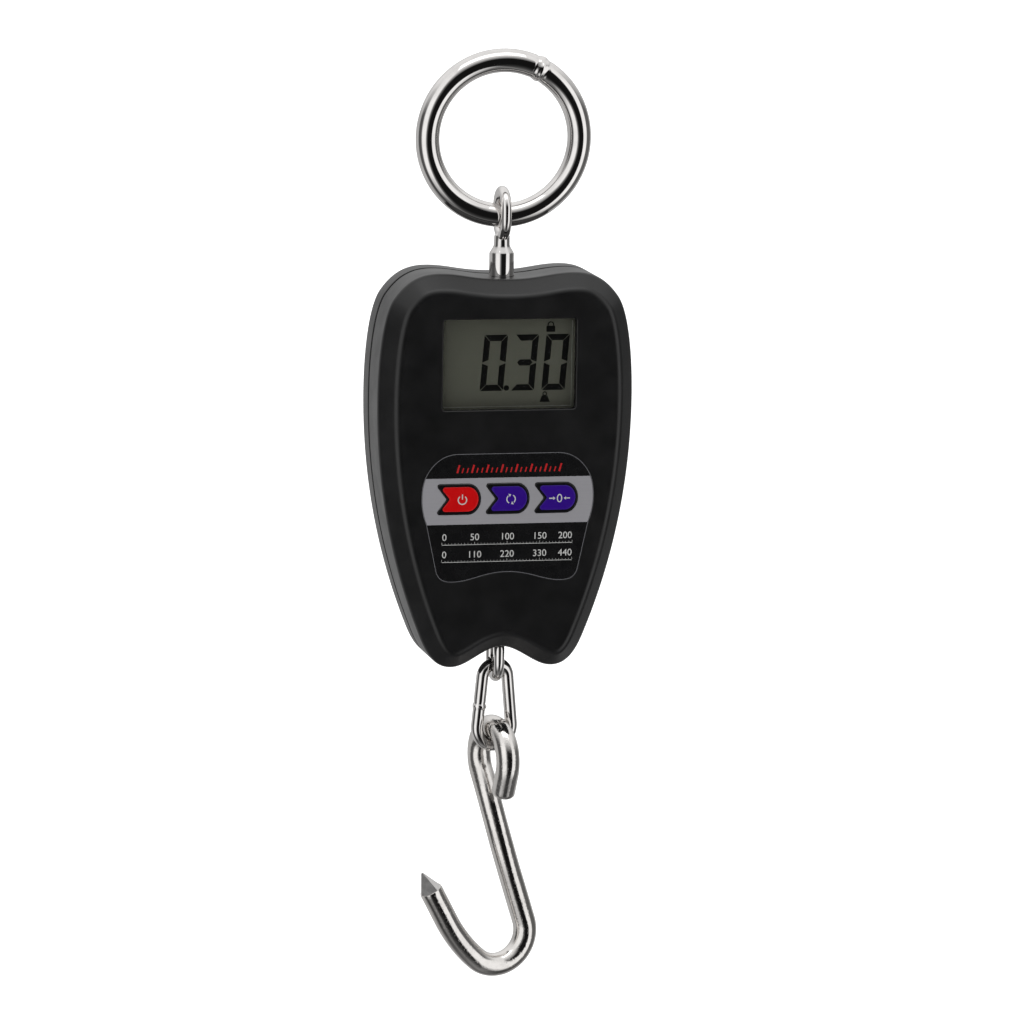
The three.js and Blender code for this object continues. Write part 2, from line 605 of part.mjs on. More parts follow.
// An S-beam: two slots from opposite sides leave a bending web with a double hole in its middle.
function loadCell() {
  const { halfWidth, halfDepth, top, bottom } = CELL;
  const { slot, web, reach, hole, holeX, gap } = BEAM;
  const deep = [-halfDepth - 1, halfDepth + 1];
  const block = plate(
    roundedRect(halfWidth, (top - bottom) / 2, 1, 0, CELL_MID), -halfDepth, halfDepth, 1);
  const eyelets = [-holeX, holeX].map((x) => rodY(x, CELL_MID, hole, ...deep, 16));
  const screwHoles = CELL_SCREWS.map((x) => rodY(x, CELL_SCREW_Z, 1.8, ...deep, 8));
  return cut(
    block,
    box([-halfWidth - 1, reach], deep, [CELL_MID + web, CELL_MID + web + slot]),
    box([-reach, halfWidth + 1], deep, [CELL_MID - web - slot, CELL_MID - web]),
    ...eyelets,
    box([-holeX, holeX], deep, [CELL_MID - gap, CELL_MID + gap]),
    ...screwHoles,
    rodZ(0, 0, SHANK.thread + GAP, top - 14, top + 1, 16),
    rodZ(0, 0, SHANK.thread + GAP, bottom - 1, bottom + 14, 16),
  );
}

function strainGauge(side) {
  const z = CELL_MID + side * (BEAM.gap - GAP - 0.2);
  return box([-3, 3], [-2.5, 2.5], [z - 0.2, z + 0.2]);
}

// ---------------------------------------------------------------- batteries and contacts
const CELL_ROWS = [1, 0, -1];

function battery(row, plusSide) {
  const z = BATTERY.z + row * BATTERY.pitch;
  const { radius, length, y } = BATTERY;
  const start = -plusSide * (length / 2) + plusSide * 2.5;
  const nub = start + plusSide * length;
  const shoulder = nub - plusSide * 1;
  return join(
    rodX(y, z, radius, ...ordered(start, shoulder), 16),
    rodX(y, z, 1.9, ...ordered(shoulder - plusSide * 0.1, nub), 12),
  );
}

function batterySpring(row, plusSide) {
  const z = BATTERY.z + row * BATTERY.pitch;
  const from = -plusSide * (BAY.halfWidth - 1.4);
  const to = -plusSide * (BATTERY.length / 2 - 2.5) - plusSide * (GAP + 0.35);
  const turns = 3;
  class Helix extends THREE.Curve {
    getPoint(t, target = new THREE.Vector3()) {
      const angle = 2 * Math.PI * turns * t;
      const radius = 3.6 - 1.4 * t;
      const x = from + (to - from) * t;
      return target.set(x, BATTERY.y + radius * Math.cos(angle), z + radius * Math.sin(angle));
    }
  }
  return tube(new Helix(), 0.35, turns * 9, 4);
}

function contactPlate(side, rowLow, rowHigh) {
  const x = side * (BAY.halfWidth - GAP);
  const z = [BATTERY.z + rowLow * BATTERY.pitch - 4.6, BATTERY.z + rowHigh * BATTERY.pitch + 4.6];
  return box(ordered(x, x - side * 0.4), [6.8, 15.8], z);
}

// ---------------------------------------------------------------- internal leads
function lead(points, radius, steps) {
  return tube(new THREE.CatmullRomCurve3(points, false, "centripetal"), radius, steps, 6);
}

function batteryLead(side) {
  const z = BATTERY.z + LEAD.rise;
  return lead(
    [
      at(side * 26.2, LEAD.y, z),
      at(side * 29, LEAD.y, z),
      at(side * 31, 8, z),
      at(side * 31, 1, z - 3),
      at(side * 28, -4, z - 6),
      at(side * 24, BOARD.back + 1.2, z - 8),
    ],
    0.6,
    14,
  );
}

function cellCable() {
  return lead(
    [
      at(-CELL.halfWidth - GAP, 0, CELL_MID),
      at(-18, 0, CELL_MID),
      at(-20.5, -1, CELL_MID - 4),
      at(-21, -3, CELL_MID - 11),
      at(-21, BOARD.back + 1.5, CELL_MID - 12),
      at(-21, BOARD.back + 2 * GAP, CELL_MID - 12),
    ],
    0.9,
    12,
  );
}

// ---------------------------------------------------------------- assembly
const scale = new THREE.Group();

function add(name, body, material) {
  const mesh = new THREE.Mesh(geometryOf(body), material());
  mesh.name = name;
  scale.add(mesh);
}

add("suspension_ring", suspensionRing(), steel);
add("lifting_eye", liftingEye(), steel);
add("upper_lock_nut", lockNut(CELL.top + GAP), nickel);
add("lower_eye", lowerEye(), steel);
add("lower_lock_nut", lockNut(CELL.bottom - GAP - SHANK.nutHeight), nickel);
add("chain_link", chainLink(), steel);
add("hook", hook(), steel);

add("front_cover", frontCover(), blackPlastic);
add("rear_cover", rearCover(), blackPlastic);
add("battery_door", batteryDoor(), blackPlastic);
CASE_SCREWS.forEach(([x, z], i) => {
  add(`case_screw_${i + 1}`, screw(x, HOUSING.top + z, CASE_SCREW), nickel);
});

add("display_window", displayWindow(), clearPlastic);
add("lcd_panel", lcdPanel(), lcdGlass);
add("lcd_holder", lcdHolder(), whitePlastic);
add("zebra_strip_upper", zebraStrip(1), rubber);
add("zebra_strip_lower", zebraStrip(-1), rubber);
add("key_label", keyLabel(), labelFilm);
["power", "mode", "tare"].forEach((name, i) => {
  add(`${name}_key`, keyCap(KEY_X[i]), i === 0 ? redKey : blueKey);
  add(`${name}_plunger`, keyPlunger(KEY_X[i]), whitePlastic);
  add(`${name}_switch`, keySwitch(KEY_X[i]), epoxy);
});

add("main_board", mainBoard(), boardGreen);
BOARD_SCREWS.forEach(([x, z], i) => {
  add(`board_screw_${i + 1}`, screw(x, z, BOARD_SCREW), nickel);
});
add("processor_blob", processorBlob(), epoxy);
add("amplifier_chip", box([-14, -6], [COMPONENT_Y - 1.6, COMPONENT_Y], [-127, -121]), epoxy);
add("crystal_can", box([15, 18.4], [COMPONENT_Y - 3.4, COMPONENT_Y], [-129, -119]), nickel);
add("capacitor", rodY(-19.5, -124, 2.5, COMPONENT_Y - 4, COMPONENT_Y, 12), cellWrap);

add("load_cell", loadCell(), aluminium);
add("strain_gauge_upper", strainGauge(1), rubber);
add("strain_gauge_lower", strainGauge(-1), rubber);
CELL_SCREWS.forEach((x, i) => {
  add(`cell_screw_${i + 1}`, screw(x, CELL_SCREW_Z, CELL_SCREW), nickel);
});
add("cell_cable", cellCable(), greyWire);

CELL_ROWS.forEach((row, i) => {
  const plusSide = i % 2 ? -1 : 1;
  add(`battery_${i + 1}`, battery(row, plusSide), cellWrap);
  add(`battery_spring_${i + 1}`, batterySpring(row, plusSide), nickel);
});
add("contact_left_upper", contactPlate(-1, 0, 1), nickel);
add("contact_left_lower", contactPlate(-1, -1, -1), nickel);
add("contact_right_upper", contactPlate(1, 1, 1), nickel);
add("contact_right_lower", contactPlate(1, -1, 0), nickel);
add("battery_lead_positive", batteryLead(1), redWire);
add("battery_lead_negative", batteryLead(-1), blackWire);

export default scale;
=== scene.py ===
"""Looks for the digital hanging scale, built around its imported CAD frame. Lengths below are millimetres."""
import json
from math import asin, atan2, cos, degrees, exp, hypot, pi, radians, sin

import bmesh
import bpy
from mathutils import Matrix, Vector, noise


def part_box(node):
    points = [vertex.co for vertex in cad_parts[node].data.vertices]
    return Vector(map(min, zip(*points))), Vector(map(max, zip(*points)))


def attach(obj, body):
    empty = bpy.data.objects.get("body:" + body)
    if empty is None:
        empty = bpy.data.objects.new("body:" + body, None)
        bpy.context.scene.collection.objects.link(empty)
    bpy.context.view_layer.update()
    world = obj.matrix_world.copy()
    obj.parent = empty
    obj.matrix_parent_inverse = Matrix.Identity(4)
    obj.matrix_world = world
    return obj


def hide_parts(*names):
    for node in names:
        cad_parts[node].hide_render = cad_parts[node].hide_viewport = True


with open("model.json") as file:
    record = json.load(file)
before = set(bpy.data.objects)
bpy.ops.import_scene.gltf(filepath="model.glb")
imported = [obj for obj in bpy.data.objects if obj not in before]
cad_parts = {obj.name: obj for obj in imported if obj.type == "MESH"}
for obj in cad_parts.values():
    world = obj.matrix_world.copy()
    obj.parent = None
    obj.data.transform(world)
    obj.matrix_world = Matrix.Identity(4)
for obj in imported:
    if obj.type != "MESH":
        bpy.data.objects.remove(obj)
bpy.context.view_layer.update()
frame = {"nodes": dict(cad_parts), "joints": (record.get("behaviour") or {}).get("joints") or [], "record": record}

MM = 0.001
TAU = 2 * pi
JOINTS = {joint["name"]: joint for joint in frame["joints"]}


def span(node):
    """Lowest and highest corner of a CAD node, in millimetres."""
    low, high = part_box(node)
    return low / MM, high / MM


def middle(node):
    """Where a CAD node's centre is, across and up."""
    low, high = span(node)
    return (low.x + high.x) / 2, (low.z + high.z) / 2


def spots(kind, count):
    """The middle of each of a numbered set of nodes."""
    return [middle(f"{kind}_{i}") for i in range(1, count + 1)]


def pivot(joint):
    """Where a joint turns, in millimetres."""
    return Vector(JOINTS[joint]["pos_m"]) / MM


# ------------------------------------------------------------------ driving sizes
# those written as plain numbers repeat the CAD's, apart from SEAM
FRONT = span("front_cover")[0].y
BACK = span("rear_cover")[1].y
TOP = span("front_cover")[1].z
PANE_LOW, PANE_HIGH = span("display_window")
LCD_LOW, LCD_HIGH = span("lcd_panel")
DISPLAY_Z = (LCD_LOW.z + LCD_HIGH.z) / 2
LABEL_LOW, LABEL_HIGH = span("key_label")
DOOR_LOW, DOOR_HIGH = span("battery_door")
SPLIT = 6.1
SEAM = 0.01  # half the gap between the covers, which is narrower here so that no light leaks through
GAP = 0.3
KEY_NAMES = ("power", "mode", "tare")
WALL = 2.4
WINDOW = (45.4, 30.5)
RING_WIRE = 4.0
RING_WELD = 63  # degrees round from +X
EYE_WIRE = 1.8
EYE_RADIUS = 6.2
EYE_STRETCH = {"upper": 2.6, "lower": 3}
UPPER_NECK_END = -60.4
COLLAR = 4.2
LINK_WIRE = 2.1
LINK_TOP_HALF = 4.8
LINK_BOTTOM_HALF = 6.5
HOOK_WIRE = 4.0
HOOK_EYE = 10.7
HOOK_EYE_ARC = (-20, 217)
HOOK_TAIL = 8.2
BOWL = {"u": 2.0, "w": -65.7, "radius": 11.2, "start": 18.4, "end": -130.6}
LIMB = {"radius": 52.0, "end": -151.3, "straight": 13.0, "tip": 7.0}
SHANK_TOP = -46.0
YAW = atan2(JOINTS["hook_swing"]["axis"][1], JOINTS["hook_swing"]["axis"][0])


# ------------------------------------------------------------------ material helpers
class Nodes:
    """A short way to write a node material around one Principled shader."""

    def __init__(self, name):
        self.material = bpy.data.materials.new(name)
        self.material.use_nodes = True
        self.tree = self.material.node_tree
        self.shader = self.tree.nodes["Principled BSDF"]
        self.coords = self.tree.nodes.new("ShaderNodeTexCoord").outputs["Object"]

    def node(self, kind, **values):
        made = self.tree.nodes.new(kind)
        for key, value in values.items():
            if key in made.inputs:
                made.inputs[key].default_value = value
            else:
                setattr(made, key, value)
        return made

    def link(self, source, target):
        self.tree.links.new(source, target)

    def set(self, **values):
        for key, value in values.items():
            name = key.replace("_", " ")
            if name == "Base Color":
                value = (*value, 1)
            self.shader.inputs[name].default_value = value

    def colour(self, source, first, second):
        self.link(self.blend(source, first, second), self.shader.inputs["Base Color"])

    def rough(self, source, low, high):
        self.link(self.span(source, low, high), self.shader.inputs["Roughness"])

    def noise(self, size, detail=3, roughness=0.6, stretch=None):
        """Noise whose features are about size millimetres across."""
        made = self.node("ShaderNodeTexNoise", Scale=1 / (size * MM), Detail=detail, Roughness=roughness)
        source = self.coords
        if stretch:
            mapping = self.node("ShaderNodeMapping")
            mapping.inputs["Scale"].default_value = stretch
            self.link(source, mapping.inputs["Vector"])
            source = mapping.outputs["Vector"]
        self.link(source, made.inputs["Vector"])
        return made.outputs["Fac"]

    def span(self, source, low, high, start=0.3, end=0.7):
        """Maps source from start..end to low..high."""
        ends = {"From Min": start, "From Max": end, "To Min": low, "To Max": high}
        made = self.node("ShaderNodeMapRange", **ends)
        self.link(source, made.inputs["Value"])
        return made.outputs["Result"]

    def blend(self, source, first, second):
        made = self.node("ShaderNodeMix", data_type="RGBA")
        made.inputs[6].default_value = (*first, 1)
        made.inputs[7].default_value = (*second, 1)
        self.link(source, made.inputs[0])
        return made.outputs[2]

    def bump(self, *layers):
        """layers are (height output, distance in millimetres, strength)."""
        last = None
        for height, distance, strength in layers:
            made = self.node("ShaderNodeBump", Distance=distance * MM, Strength=strength)
            self.link(height, made.inputs["Height"])
            if last is not None:
                self.link(last, made.inputs["Normal"])
            last = made.outputs["Normal"]
        self.link(last, self.shader.inputs["Normal"])


def polished_steel(name, rough=(0.03, 0.09), grain=0.02, pits=0.0, tint=(0.82, 0.80, 0.785)):
    n = Nodes(name)
    n.set(Metallic=1.0)
    smears = n.noise(7, 4)
    dull = tuple(c * 0.82 for c in tint)
    n.colour(n.span(smears, 0, 1, 0.35, 0.8), tint, dull)
    n.rough(n.noise(2.2, 5), *rough)
    layers = [(n.noise(1.6, 4), 0.05, grain), (n.noise(0.25, 2), 0.01, grain)]
    if pits:
        pit = n.span(n.noise(0.7, 2, 0.5), 0, 1, 0.58, 0.72)
        layers.append((pit, 0.05, pits))
    n.bump(*layers)
    return n.material


def moulded_plastic(name, colour, rough, grain, spec=0.5):
    n = Nodes(name)
    n.set(Specular_IOR_Level=spec)
    handled = n.span(n.noise(18, 3), 0, 1, 0.35, 0.75)
    lighter = tuple(min(1, c * 1.3 + 0.001) for c in colour)
    n.colour(handled, colour, lighter)
    n.rough(n.noise(9, 4), *rough)
    n.bump((n.noise(0.22, 2), 0.02, grain), (n.noise(14, 2), 0.15, 0.04))
    return n.material


def printed_film(name, colour, rough=(0.24, 0.34), dust=0.02, spec=0.4):
    n = Nodes(name)
    n.set(Specular_IOR_Level=spec)
    lighter = tuple(min(1, c * 1.12 + dust * 0.1) for c in colour)
    n.colour(n.span(n.noise(5, 4), 0, 1, 0.4, 0.8), colour, lighter)
    n.rough(n.noise(3, 4), *rough)
    n.bump((n.noise(0.4, 2), 0.01, 0.04), (n.noise(9, 2), 0.06, 0.05))
    return n.material


def brushed_band(name, colour):
    n = Nodes(name)
    n.set(Metallic=0.35)
    streaks = n.noise(0.6, 3, 0.6, stretch=(0.04, 1, 1))
    darker = tuple(c * 0.86 for c in colour)
    n.colour(streaks, colour, darker)
    n.rough(streaks, 0.34, 0.46)
    n.bump((streaks, 0.01, 0.15))
    return n.material


def lcd_glass(name):
    n = Nodes(name)
    n.set(Specular_IOR_Level=0.4)
    cloud = n.noise(26, 2)
    n.colour(cloud, (0.080, 0.083, 0.064), (0.092, 0.095, 0.073))
    n.rough(n.noise(2, 3), 0.3, 0.4)
    n.bump((n.noise(4, 2), 0.01, 0.02))
    return n.material


def clear_pane(name):
    n = Nodes(name)
    n.set(Base_Color=(0.03, 0.03, 0.03), Alpha=0.05, Specular_IOR_Level=0.1)
    n.rough(n.noise(12, 4), 0.05, 0.16)
    n.bump((n.noise(20, 2), 0.05, 0.03))
    return n.material


def circuit_board(name):
    n = Nodes(name)
    first, second, edge = (0.012, 0.11, 0.035, 1), (0.016, 0.14, 0.045, 1), (0.03, 0.22, 0.08, 1)
    traces = n.node("ShaderNodeTexBrick", Scale=260.0, Color1=first, Color2=second, Mortar=edge)
    n.link(n.coords, traces.inputs["Vector"])
    n.link(traces.outputs["Color"], n.shader.inputs["Base Color"])
    n.rough(n.noise(3, 3), 0.3, 0.45)
    n.bump((traces.outputs["Fac"], 0.03, 0.3))
    return n.material


def battery_sleeve(name):
    n = Nodes(name)
    n.set(Metallic=0.3)
    n.colour(n.noise(8, 3), (0.02, 0.12, 0.05), (0.03, 0.16, 0.07))
    n.rough(n.noise(2, 3), 0.22, 0.34)
    n.bump((n.noise(1.2, 3), 0.02, 0.1))
    return n.material


RECIPES = {
    "polished_steel": (polished_steel,),
    "nickel": (polished_steel, (0.22, 0.36), 0.05, 0.1, (0.66, 0.64, 0.60)),
    "cell_metal": (polished_steel, (0.3, 0.45), 0.12, 0.1, (0.70, 0.71, 0.72)),
    "housing_black": (moulded_plastic, (0.0036, 0.0036, 0.0039), (0.29, 0.37), 0.3, 0.52),
    "white_plastic": (moulded_plastic, (0.68, 0.66, 0.60), (0.35, 0.5), 0.1),
    "label_film": (printed_film, (0.0044, 0.0044, 0.0048), (0.22, 0.30)),
    "key_red": (printed_film, (0.50, 0.003, 0.004), (0.2, 0.28), 0.01, 0.25),
    "key_blue": (printed_film, (0.026, 0.004, 0.19), (0.2, 0.28), 0.01, 0.25),
    "window_clear": (clear_pane,),
    "lcd_glass": (lcd_glass,),
    "circuit_board": (circuit_board,),
    "epoxy_black": (moulded_plastic, (0.012, 0.012, 0.012), (0.3, 0.5), 0.2),
    "silicone": (moulded_plastic, (0.42, 0.17, 0.19), (0.5, 0.7), 0.2),
    "battery_sleeve": (battery_sleeve,),
    "wire_red": (moulded_plastic, (0.40, 0.02, 0.02), (0.4, 0.55), 0.1),
    "wire_black": (moulded_plastic, (0.012, 0.012, 0.012), (0.4, 0.55), 0.1),
    "wire_grey": (moulded_plastic, (0.17, 0.17, 0.18), (0.4, 0.55), 0.1),
}
MATERIALS = {name: make(name, *values) for name, (make, *values) in RECIPES.items()}
HOOK_STEEL = polished_steel("hook_steel", (0.06, 0.16), 0.05, 0.35, (0.80, 0.775, 0.75))
GROUND_STEEL = polished_steel("ground_steel", (0.30, 0.42), 0.1, 0.1, (0.82, 0.81, 0.80))
PRINT_WHITE = printed_film("print_white", (0.50, 0.50, 0.49), (0.35, 0.45))
PRINT_RED = printed_film("print_red", (0.42, 0.010, 0.012), (0.3, 0.4))
# a thin grey line just inside the label's edge
LABEL_EDGE_GREY = printed_film("label_edge_grey", (0.13, 0.13, 0.14), (0.3, 0.4))
SEGMENT_BLACK = printed_film("segment_black", (0.0015, 0.0016, 0.0014), (0.5, 0.6), 0.0, 0.04)
RIM_BLACK = printed_film("rim_black", (0.004, 0.004, 0.0045), (0.18, 0.26), 0.0)
BAND_SILVER = brushed_band("band_silver", (0.40, 0.395, 0.42))
GLASS_EDGE = printed_film("glass_edge", (0.22, 0.23, 0.21), (0.2, 0.3))


# ------------------------------------------------------------------ mesh helpers
def linked(name, data):
    """A new object in the scene."""
    made = bpy.data.objects.new(name, data)
    bpy.context.scene.collection.objects.link(made)
    return made


class Build:
    """Collects vertices in millimetres and faces, and turns them into one piece."""

    def __init__(self):
        self.bm = bmesh.new()

    def rings(self, rings, closed=False, caps=True):
        """Quads between loops of equal length."""
        made = [[self.bm.verts.new(Vector(p) * MM) for p in ring] for ring in rings]
        pairs = list(zip(made, made[1:])) + ([(made[-1], made[0])] if closed else [])
        n = len(made[0])
        for a, b in pairs:
            for i in range(n):
                j = (i + 1) % n
                self.bm.faces.new((a[i], a[j], b[j], b[i]))
        if caps and not closed:
            self.bm.faces.new(list(reversed(made[0])))
            self.bm.faces.new(made[-1])
        return self

    def loft(self, outline, stations, limits=None):
        """A solid along Y whose outline in X and Z is inset as each (y, inset) station says."""
        return self.rings([[(x, y, z) for x, z in inset(outline, d, limits)] for y, d in stations])

    def prism(self, outline, y0, y1, edge=0.0):
        """A plate of an outline, with its front edge chamfered by edge."""
        front = [(y0, edge), (y0 + edge, 0.0)] if edge else [(y0, 0.0)]
        return self.loft(outline, front + [(y1, 0.0)])

    def ribbon(self, points, width, y0, y1, closed=False):
        """A flat line of the given width along points in X and Z."""
        n = len(points)
        loops = []
        for i, (x, z) in enumerate(points):
            before = points[(i - 1) % n] if closed or i else points[i]
            after = points[(i + 1) % n] if closed or i < n - 1 else points[i]
            along = Vector((after[0] - before[0], after[1] - before[1])).normalized()
            dx, dz = -along.y * width / 2, along.x * width / 2
            one, other = (x + dx, z + dz), (x - dx, z - dz)
            corners = ((one, y0), (other, y0), (other, y1), (one, y1))
            loops.append([(px, y, pz) for (px, pz), y in corners])
        return self.rings(loops, closed=closed)

    def piece(self, name, body, slot, smooth, replaces=()):
        """An object in its slot's own material."""
        return self.object(name, MATERIALS[slot], smooth, body, slot, replaces)

    def object(self, name, material, smooth=35, body=None, slot=None, replaces=()):
        bmesh.ops.recalc_face_normals(self.bm, faces=self.bm.faces)
        mesh = bpy.data.meshes.new(name)
        self.bm.to_mesh(mesh)
        self.bm.free()
        piece = linked(name, mesh)
        if material:
            mesh.materials.append(material)
        if body:
            place(piece, body, replaces, smooth)
        return piece


def place(piece, body, replaces=(), smooth=35):
    """Sets a finished piece's shading, hangs it on its body, and hides the CAD nodes that it replaces."""
    mesh = piece.data
    mesh.polygons.foreach_set("use_smooth", [smooth > 0] * len(mesh.polygons))
    if smooth:
        mesh.set_sharp_from_angle(angle=radians(smooth))
        weighted = piece.modifiers.new("weighted", "WEIGHTED_NORMAL")
        weighted.keep_sharp = True
        weighted.weight = 60
    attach(piece, body)
    if replaces:
        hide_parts(*replaces)
    return piece


def ink(build, name, material, slot="label_film"):
    """Flat marks that ride on the housing."""
    build.object(name, material, 0, "housing", slot)


def bake_modifiers(piece):
    graph = bpy.context.evaluated_depsgraph_get()
    mesh = bpy.data.meshes.new_from_object(piece.evaluated_get(graph))
    piece.modifiers.clear()
    piece.data = mesh


def boolean(piece, tools, operation="DIFFERENCE"):
    """Joins or cuts piece with each tool, and deletes the tools."""
    for tool in tools:
        modifier = piece.modifiers.new("boolean", "BOOLEAN")
        modifier.object = tool
        modifier.operation = operation
        modifier.solver = "EXACT"
    bpy.context.view_layer.update()
    bake_modifiers(piece)
    for tool in tools:
        bpy.data.objects.remove(tool)


# ------------------------------------------------------------------ outlines and paths
def cubic(p0, p1, p2, p3, count):
    """Points on a cubic Bezier curve, without its last one."""
    points = []
    for i in range(count):
        t = i / count
        weights = ((1 - t) ** 3, 3 * (1 - t) ** 2 * t, 3 * (1 - t) * t * t, t ** 3)
        points.append(tuple(sum(w * p[k] for w, p in zip(weights, (p0, p1, p2, p3))) for k in range(len(p0))))
    return points


def mirrored(half, last):
    """A whole outline from its right half, whose first and last points are on the middle line."""
    right = half + [last]
    return right + [(-x, z) for x, z in reversed(right[1:-1])]


def inset(outline, distance, limits=None):
    """The outline moved inwards along its normals, at most as far as limits says at each point."""
    if not distance:
        return list(outline)
    moved = []
    n = len(outline)
    for i, (x, z) in enumerate(outline):
        (ax, az), (bx, bz) = outline[i - 1], outline[(i + 1) % n]
        length = hypot(bx - ax, bz - az)
        d = min(distance, limits[i]) if limits else distance
        moved.append((x + (bz - az) / length * d, z - (bx - ax) / length * d))
    return moved


def inset_limits(outline, most):
    """How far each point can move inwards before it is nearer to another part of the outline."""
    limits = []
    full = inset(outline, 1.0)
    for (x, z), (nx, nz) in zip(outline, full):
        dx, dz = nx - x, nz - z
        low, high = 0.0, most
        for _ in range(9):
            trial = (low + high) / 2
            px, pz = x + dx * trial, z + dz * trial
            nearest = min((px - ox) ** 2 + (pz - oz) ** 2 for ox, oz in outline)
            if nearest < (trial * 0.985) ** 2:
                high = trial
            else:
                low = trial
        limits.append(low * 0.97)
    return limits


def housing_outline(samples=26):
    curves = [
        ((0, -2.1), (11.4, -2.1), (15.2, 0), (23, 0)),
        ((23, 0), (29.5, 0), (34.1, -2.2), (38.5, -8.4)),
        ((38.5, -8.4), (42.4, -14), (43.8, -29.7), (43.8, -43.1)),
        ((43.8, -43.1), (43.8, -74), (37.5, -100.7), (28.3, -123.3)),
        ((28.3, -123.3), (25.4, -130.6), (22.1, -134), (17.3, -134)),
        ((17.3, -134), (11.5, -134), (6, -127.2), (0, -127.2)),
    ]
    half = [p for curve in curves for p in cubic(*curve, samples)]
    return [(x, z + TOP) for x, z in mirrored(half, (0, -127.2))]


def label_outline(samples=14):
    half = [(x, -60) for x in (0, 6, 12)]
    half += cubic((17.1, -60), (22.5, -60), (26.4, -63.4), (28.6, -68.3), samples)
    half += cubic((28.6, -68.3), (30.1, -72.5), (30.1, -79), (27.9, -84), samples)
    half += [(27.9 - 3.4 * t, -84 - 15.9 * t) for t in (0, 0.33, 0.66)]
    half += cubic((24.5, -99.9), (23.6, -103), (21.5, -103.7), (18.5, -103.7), samples)
    half += cubic((18.5, -103.7), (12.5, -103.7), (8, -100.5), (0, -100.5), samples)
    return [(x, z + TOP) for x, z in mirrored(half, (0, -100.5))]


def rounded_rect(width, height, corner, cx=0.0, cz=0.0, steps=6):
    """Clockwise from the top right, as the other outlines run."""
    points = []
    for quarter in range(4):
        sx, sz = ((1, 1), (1, -1), (-1, -1), (-1, 1))[quarter]
        for i in range(steps + 1):
            angle = pi / 2 * (1 - quarter - i / steps)
            x = sx * (width / 2 - corner) + corner * cos(angle)
            z = sz * (height / 2 - corner) + corner * sin(angle)
            points.append((cx + x, cz + z))
    return points


def oval(half_width, half_height, cx=0.0, cz=0.0, steps=40):
    """Clockwise from the top."""
    angles = [TAU * i / steps for i in range(steps)]
    return [(cx + half_width * sin(a), cz + half_height * cos(a)) for a in angles]


def circle(radius, cx=0.0, cz=0.0, steps=40):
    return oval(radius, radius, cx, cz, steps)


def clockwise(points):
    """The same points, turned round if they run the other way."""
    area = sum(a[0] * b[1] - b[0] * a[1] for a, b in zip(points, points[1:] + points[:1]))
    return points if area < 0 else points[::-1]


def arc(centre, across, up, radius, start, end, step=0.6):
    """Points on an arc in space, from start to end degrees, about step millimetres apart."""
    start, end = radians(start), radians(end)
    count = max(2, int(abs(end - start) * radius / step))
    angles = [start + (end - start) * i / count for i in range(count + 1)]
    return [centre + across * radius * cos(a) + up * radius * sin(a) for a in angles]


def line(a, b, step=1.0):
    count = max(1, int((b - a).length / step))
    return [a.lerp(b, i / count) for i in range(count + 1)]


def joined(*stretches):
    """One list of points from stretches that meet end to end."""
    points = list(stretches[0])
    for stretch in stretches[1:]:
        points += stretch[1:]
    return points


def sweep(build, path, radius, sides=36, closed=False, seed=Vector((0.0, 1.0, 0.0))):
    """A tube along path, added to build. radius is a number, or a function of (index, angle)."""
    n = len(path)
    rings = []
    side = None
    for i, point in enumerate(path):
        before = path[(i - 1) % n] if closed or i else path[i]
        after = path[(i + 1) % n] if closed or i < n - 1 else path[i]
        along = (after - before).normalized()
        side = (seed if side is None else side)
        side = (side - along * side.dot(along)).normalized()
        other = along.cross(side)
        ring = []
        for k in range(sides):
            angle = TAU * k / sides
            r = radius(i, angle) if callable(radius) else radius
            ring.append(point + side * r * cos(angle) + other * r * sin(angle))
        rings.append(ring)
    build.rings(rings, closed=closed)
    return build


# ------------------------------------------------------------------ ring, eyes, link, hook
X, Y, Z = Vector((1.0, 0, 0)), Vector((0, 1.0, 0)), Vector((0, 0, 1.0))


def suspension_ring():
    low, high = span("suspension_ring")
    radius = (high.x - low.x) / 2 - RING_WIRE
    centre = Vector((0, 0, -radius + RING_WIRE))
    step = 0.45
    path = arc(centre, X, Z, radius, 0, 360, step)[:-1]
    weld = len(path) * RING_WELD / 360

    def wire(i, angle):
        away = abs(i - weld) * step
        bead = exp(-(away / 1.5) ** 2)
        lumps = noise.noise(Vector((i * 0.33, 2.2 * cos(angle), 2.2 * sin(angle))))
        groove = 0.35 * exp(-((away - 1.9) / 0.5) ** 2)
        return RING_WIRE + bead * (0.28 + 0.5 * lumps) - groove * 0.5

    build = sweep(Build(), path, wire, 40, closed=True)
    build.piece("ring_wire", "ring", "polished_steel", 60, ["suspension_ring"])


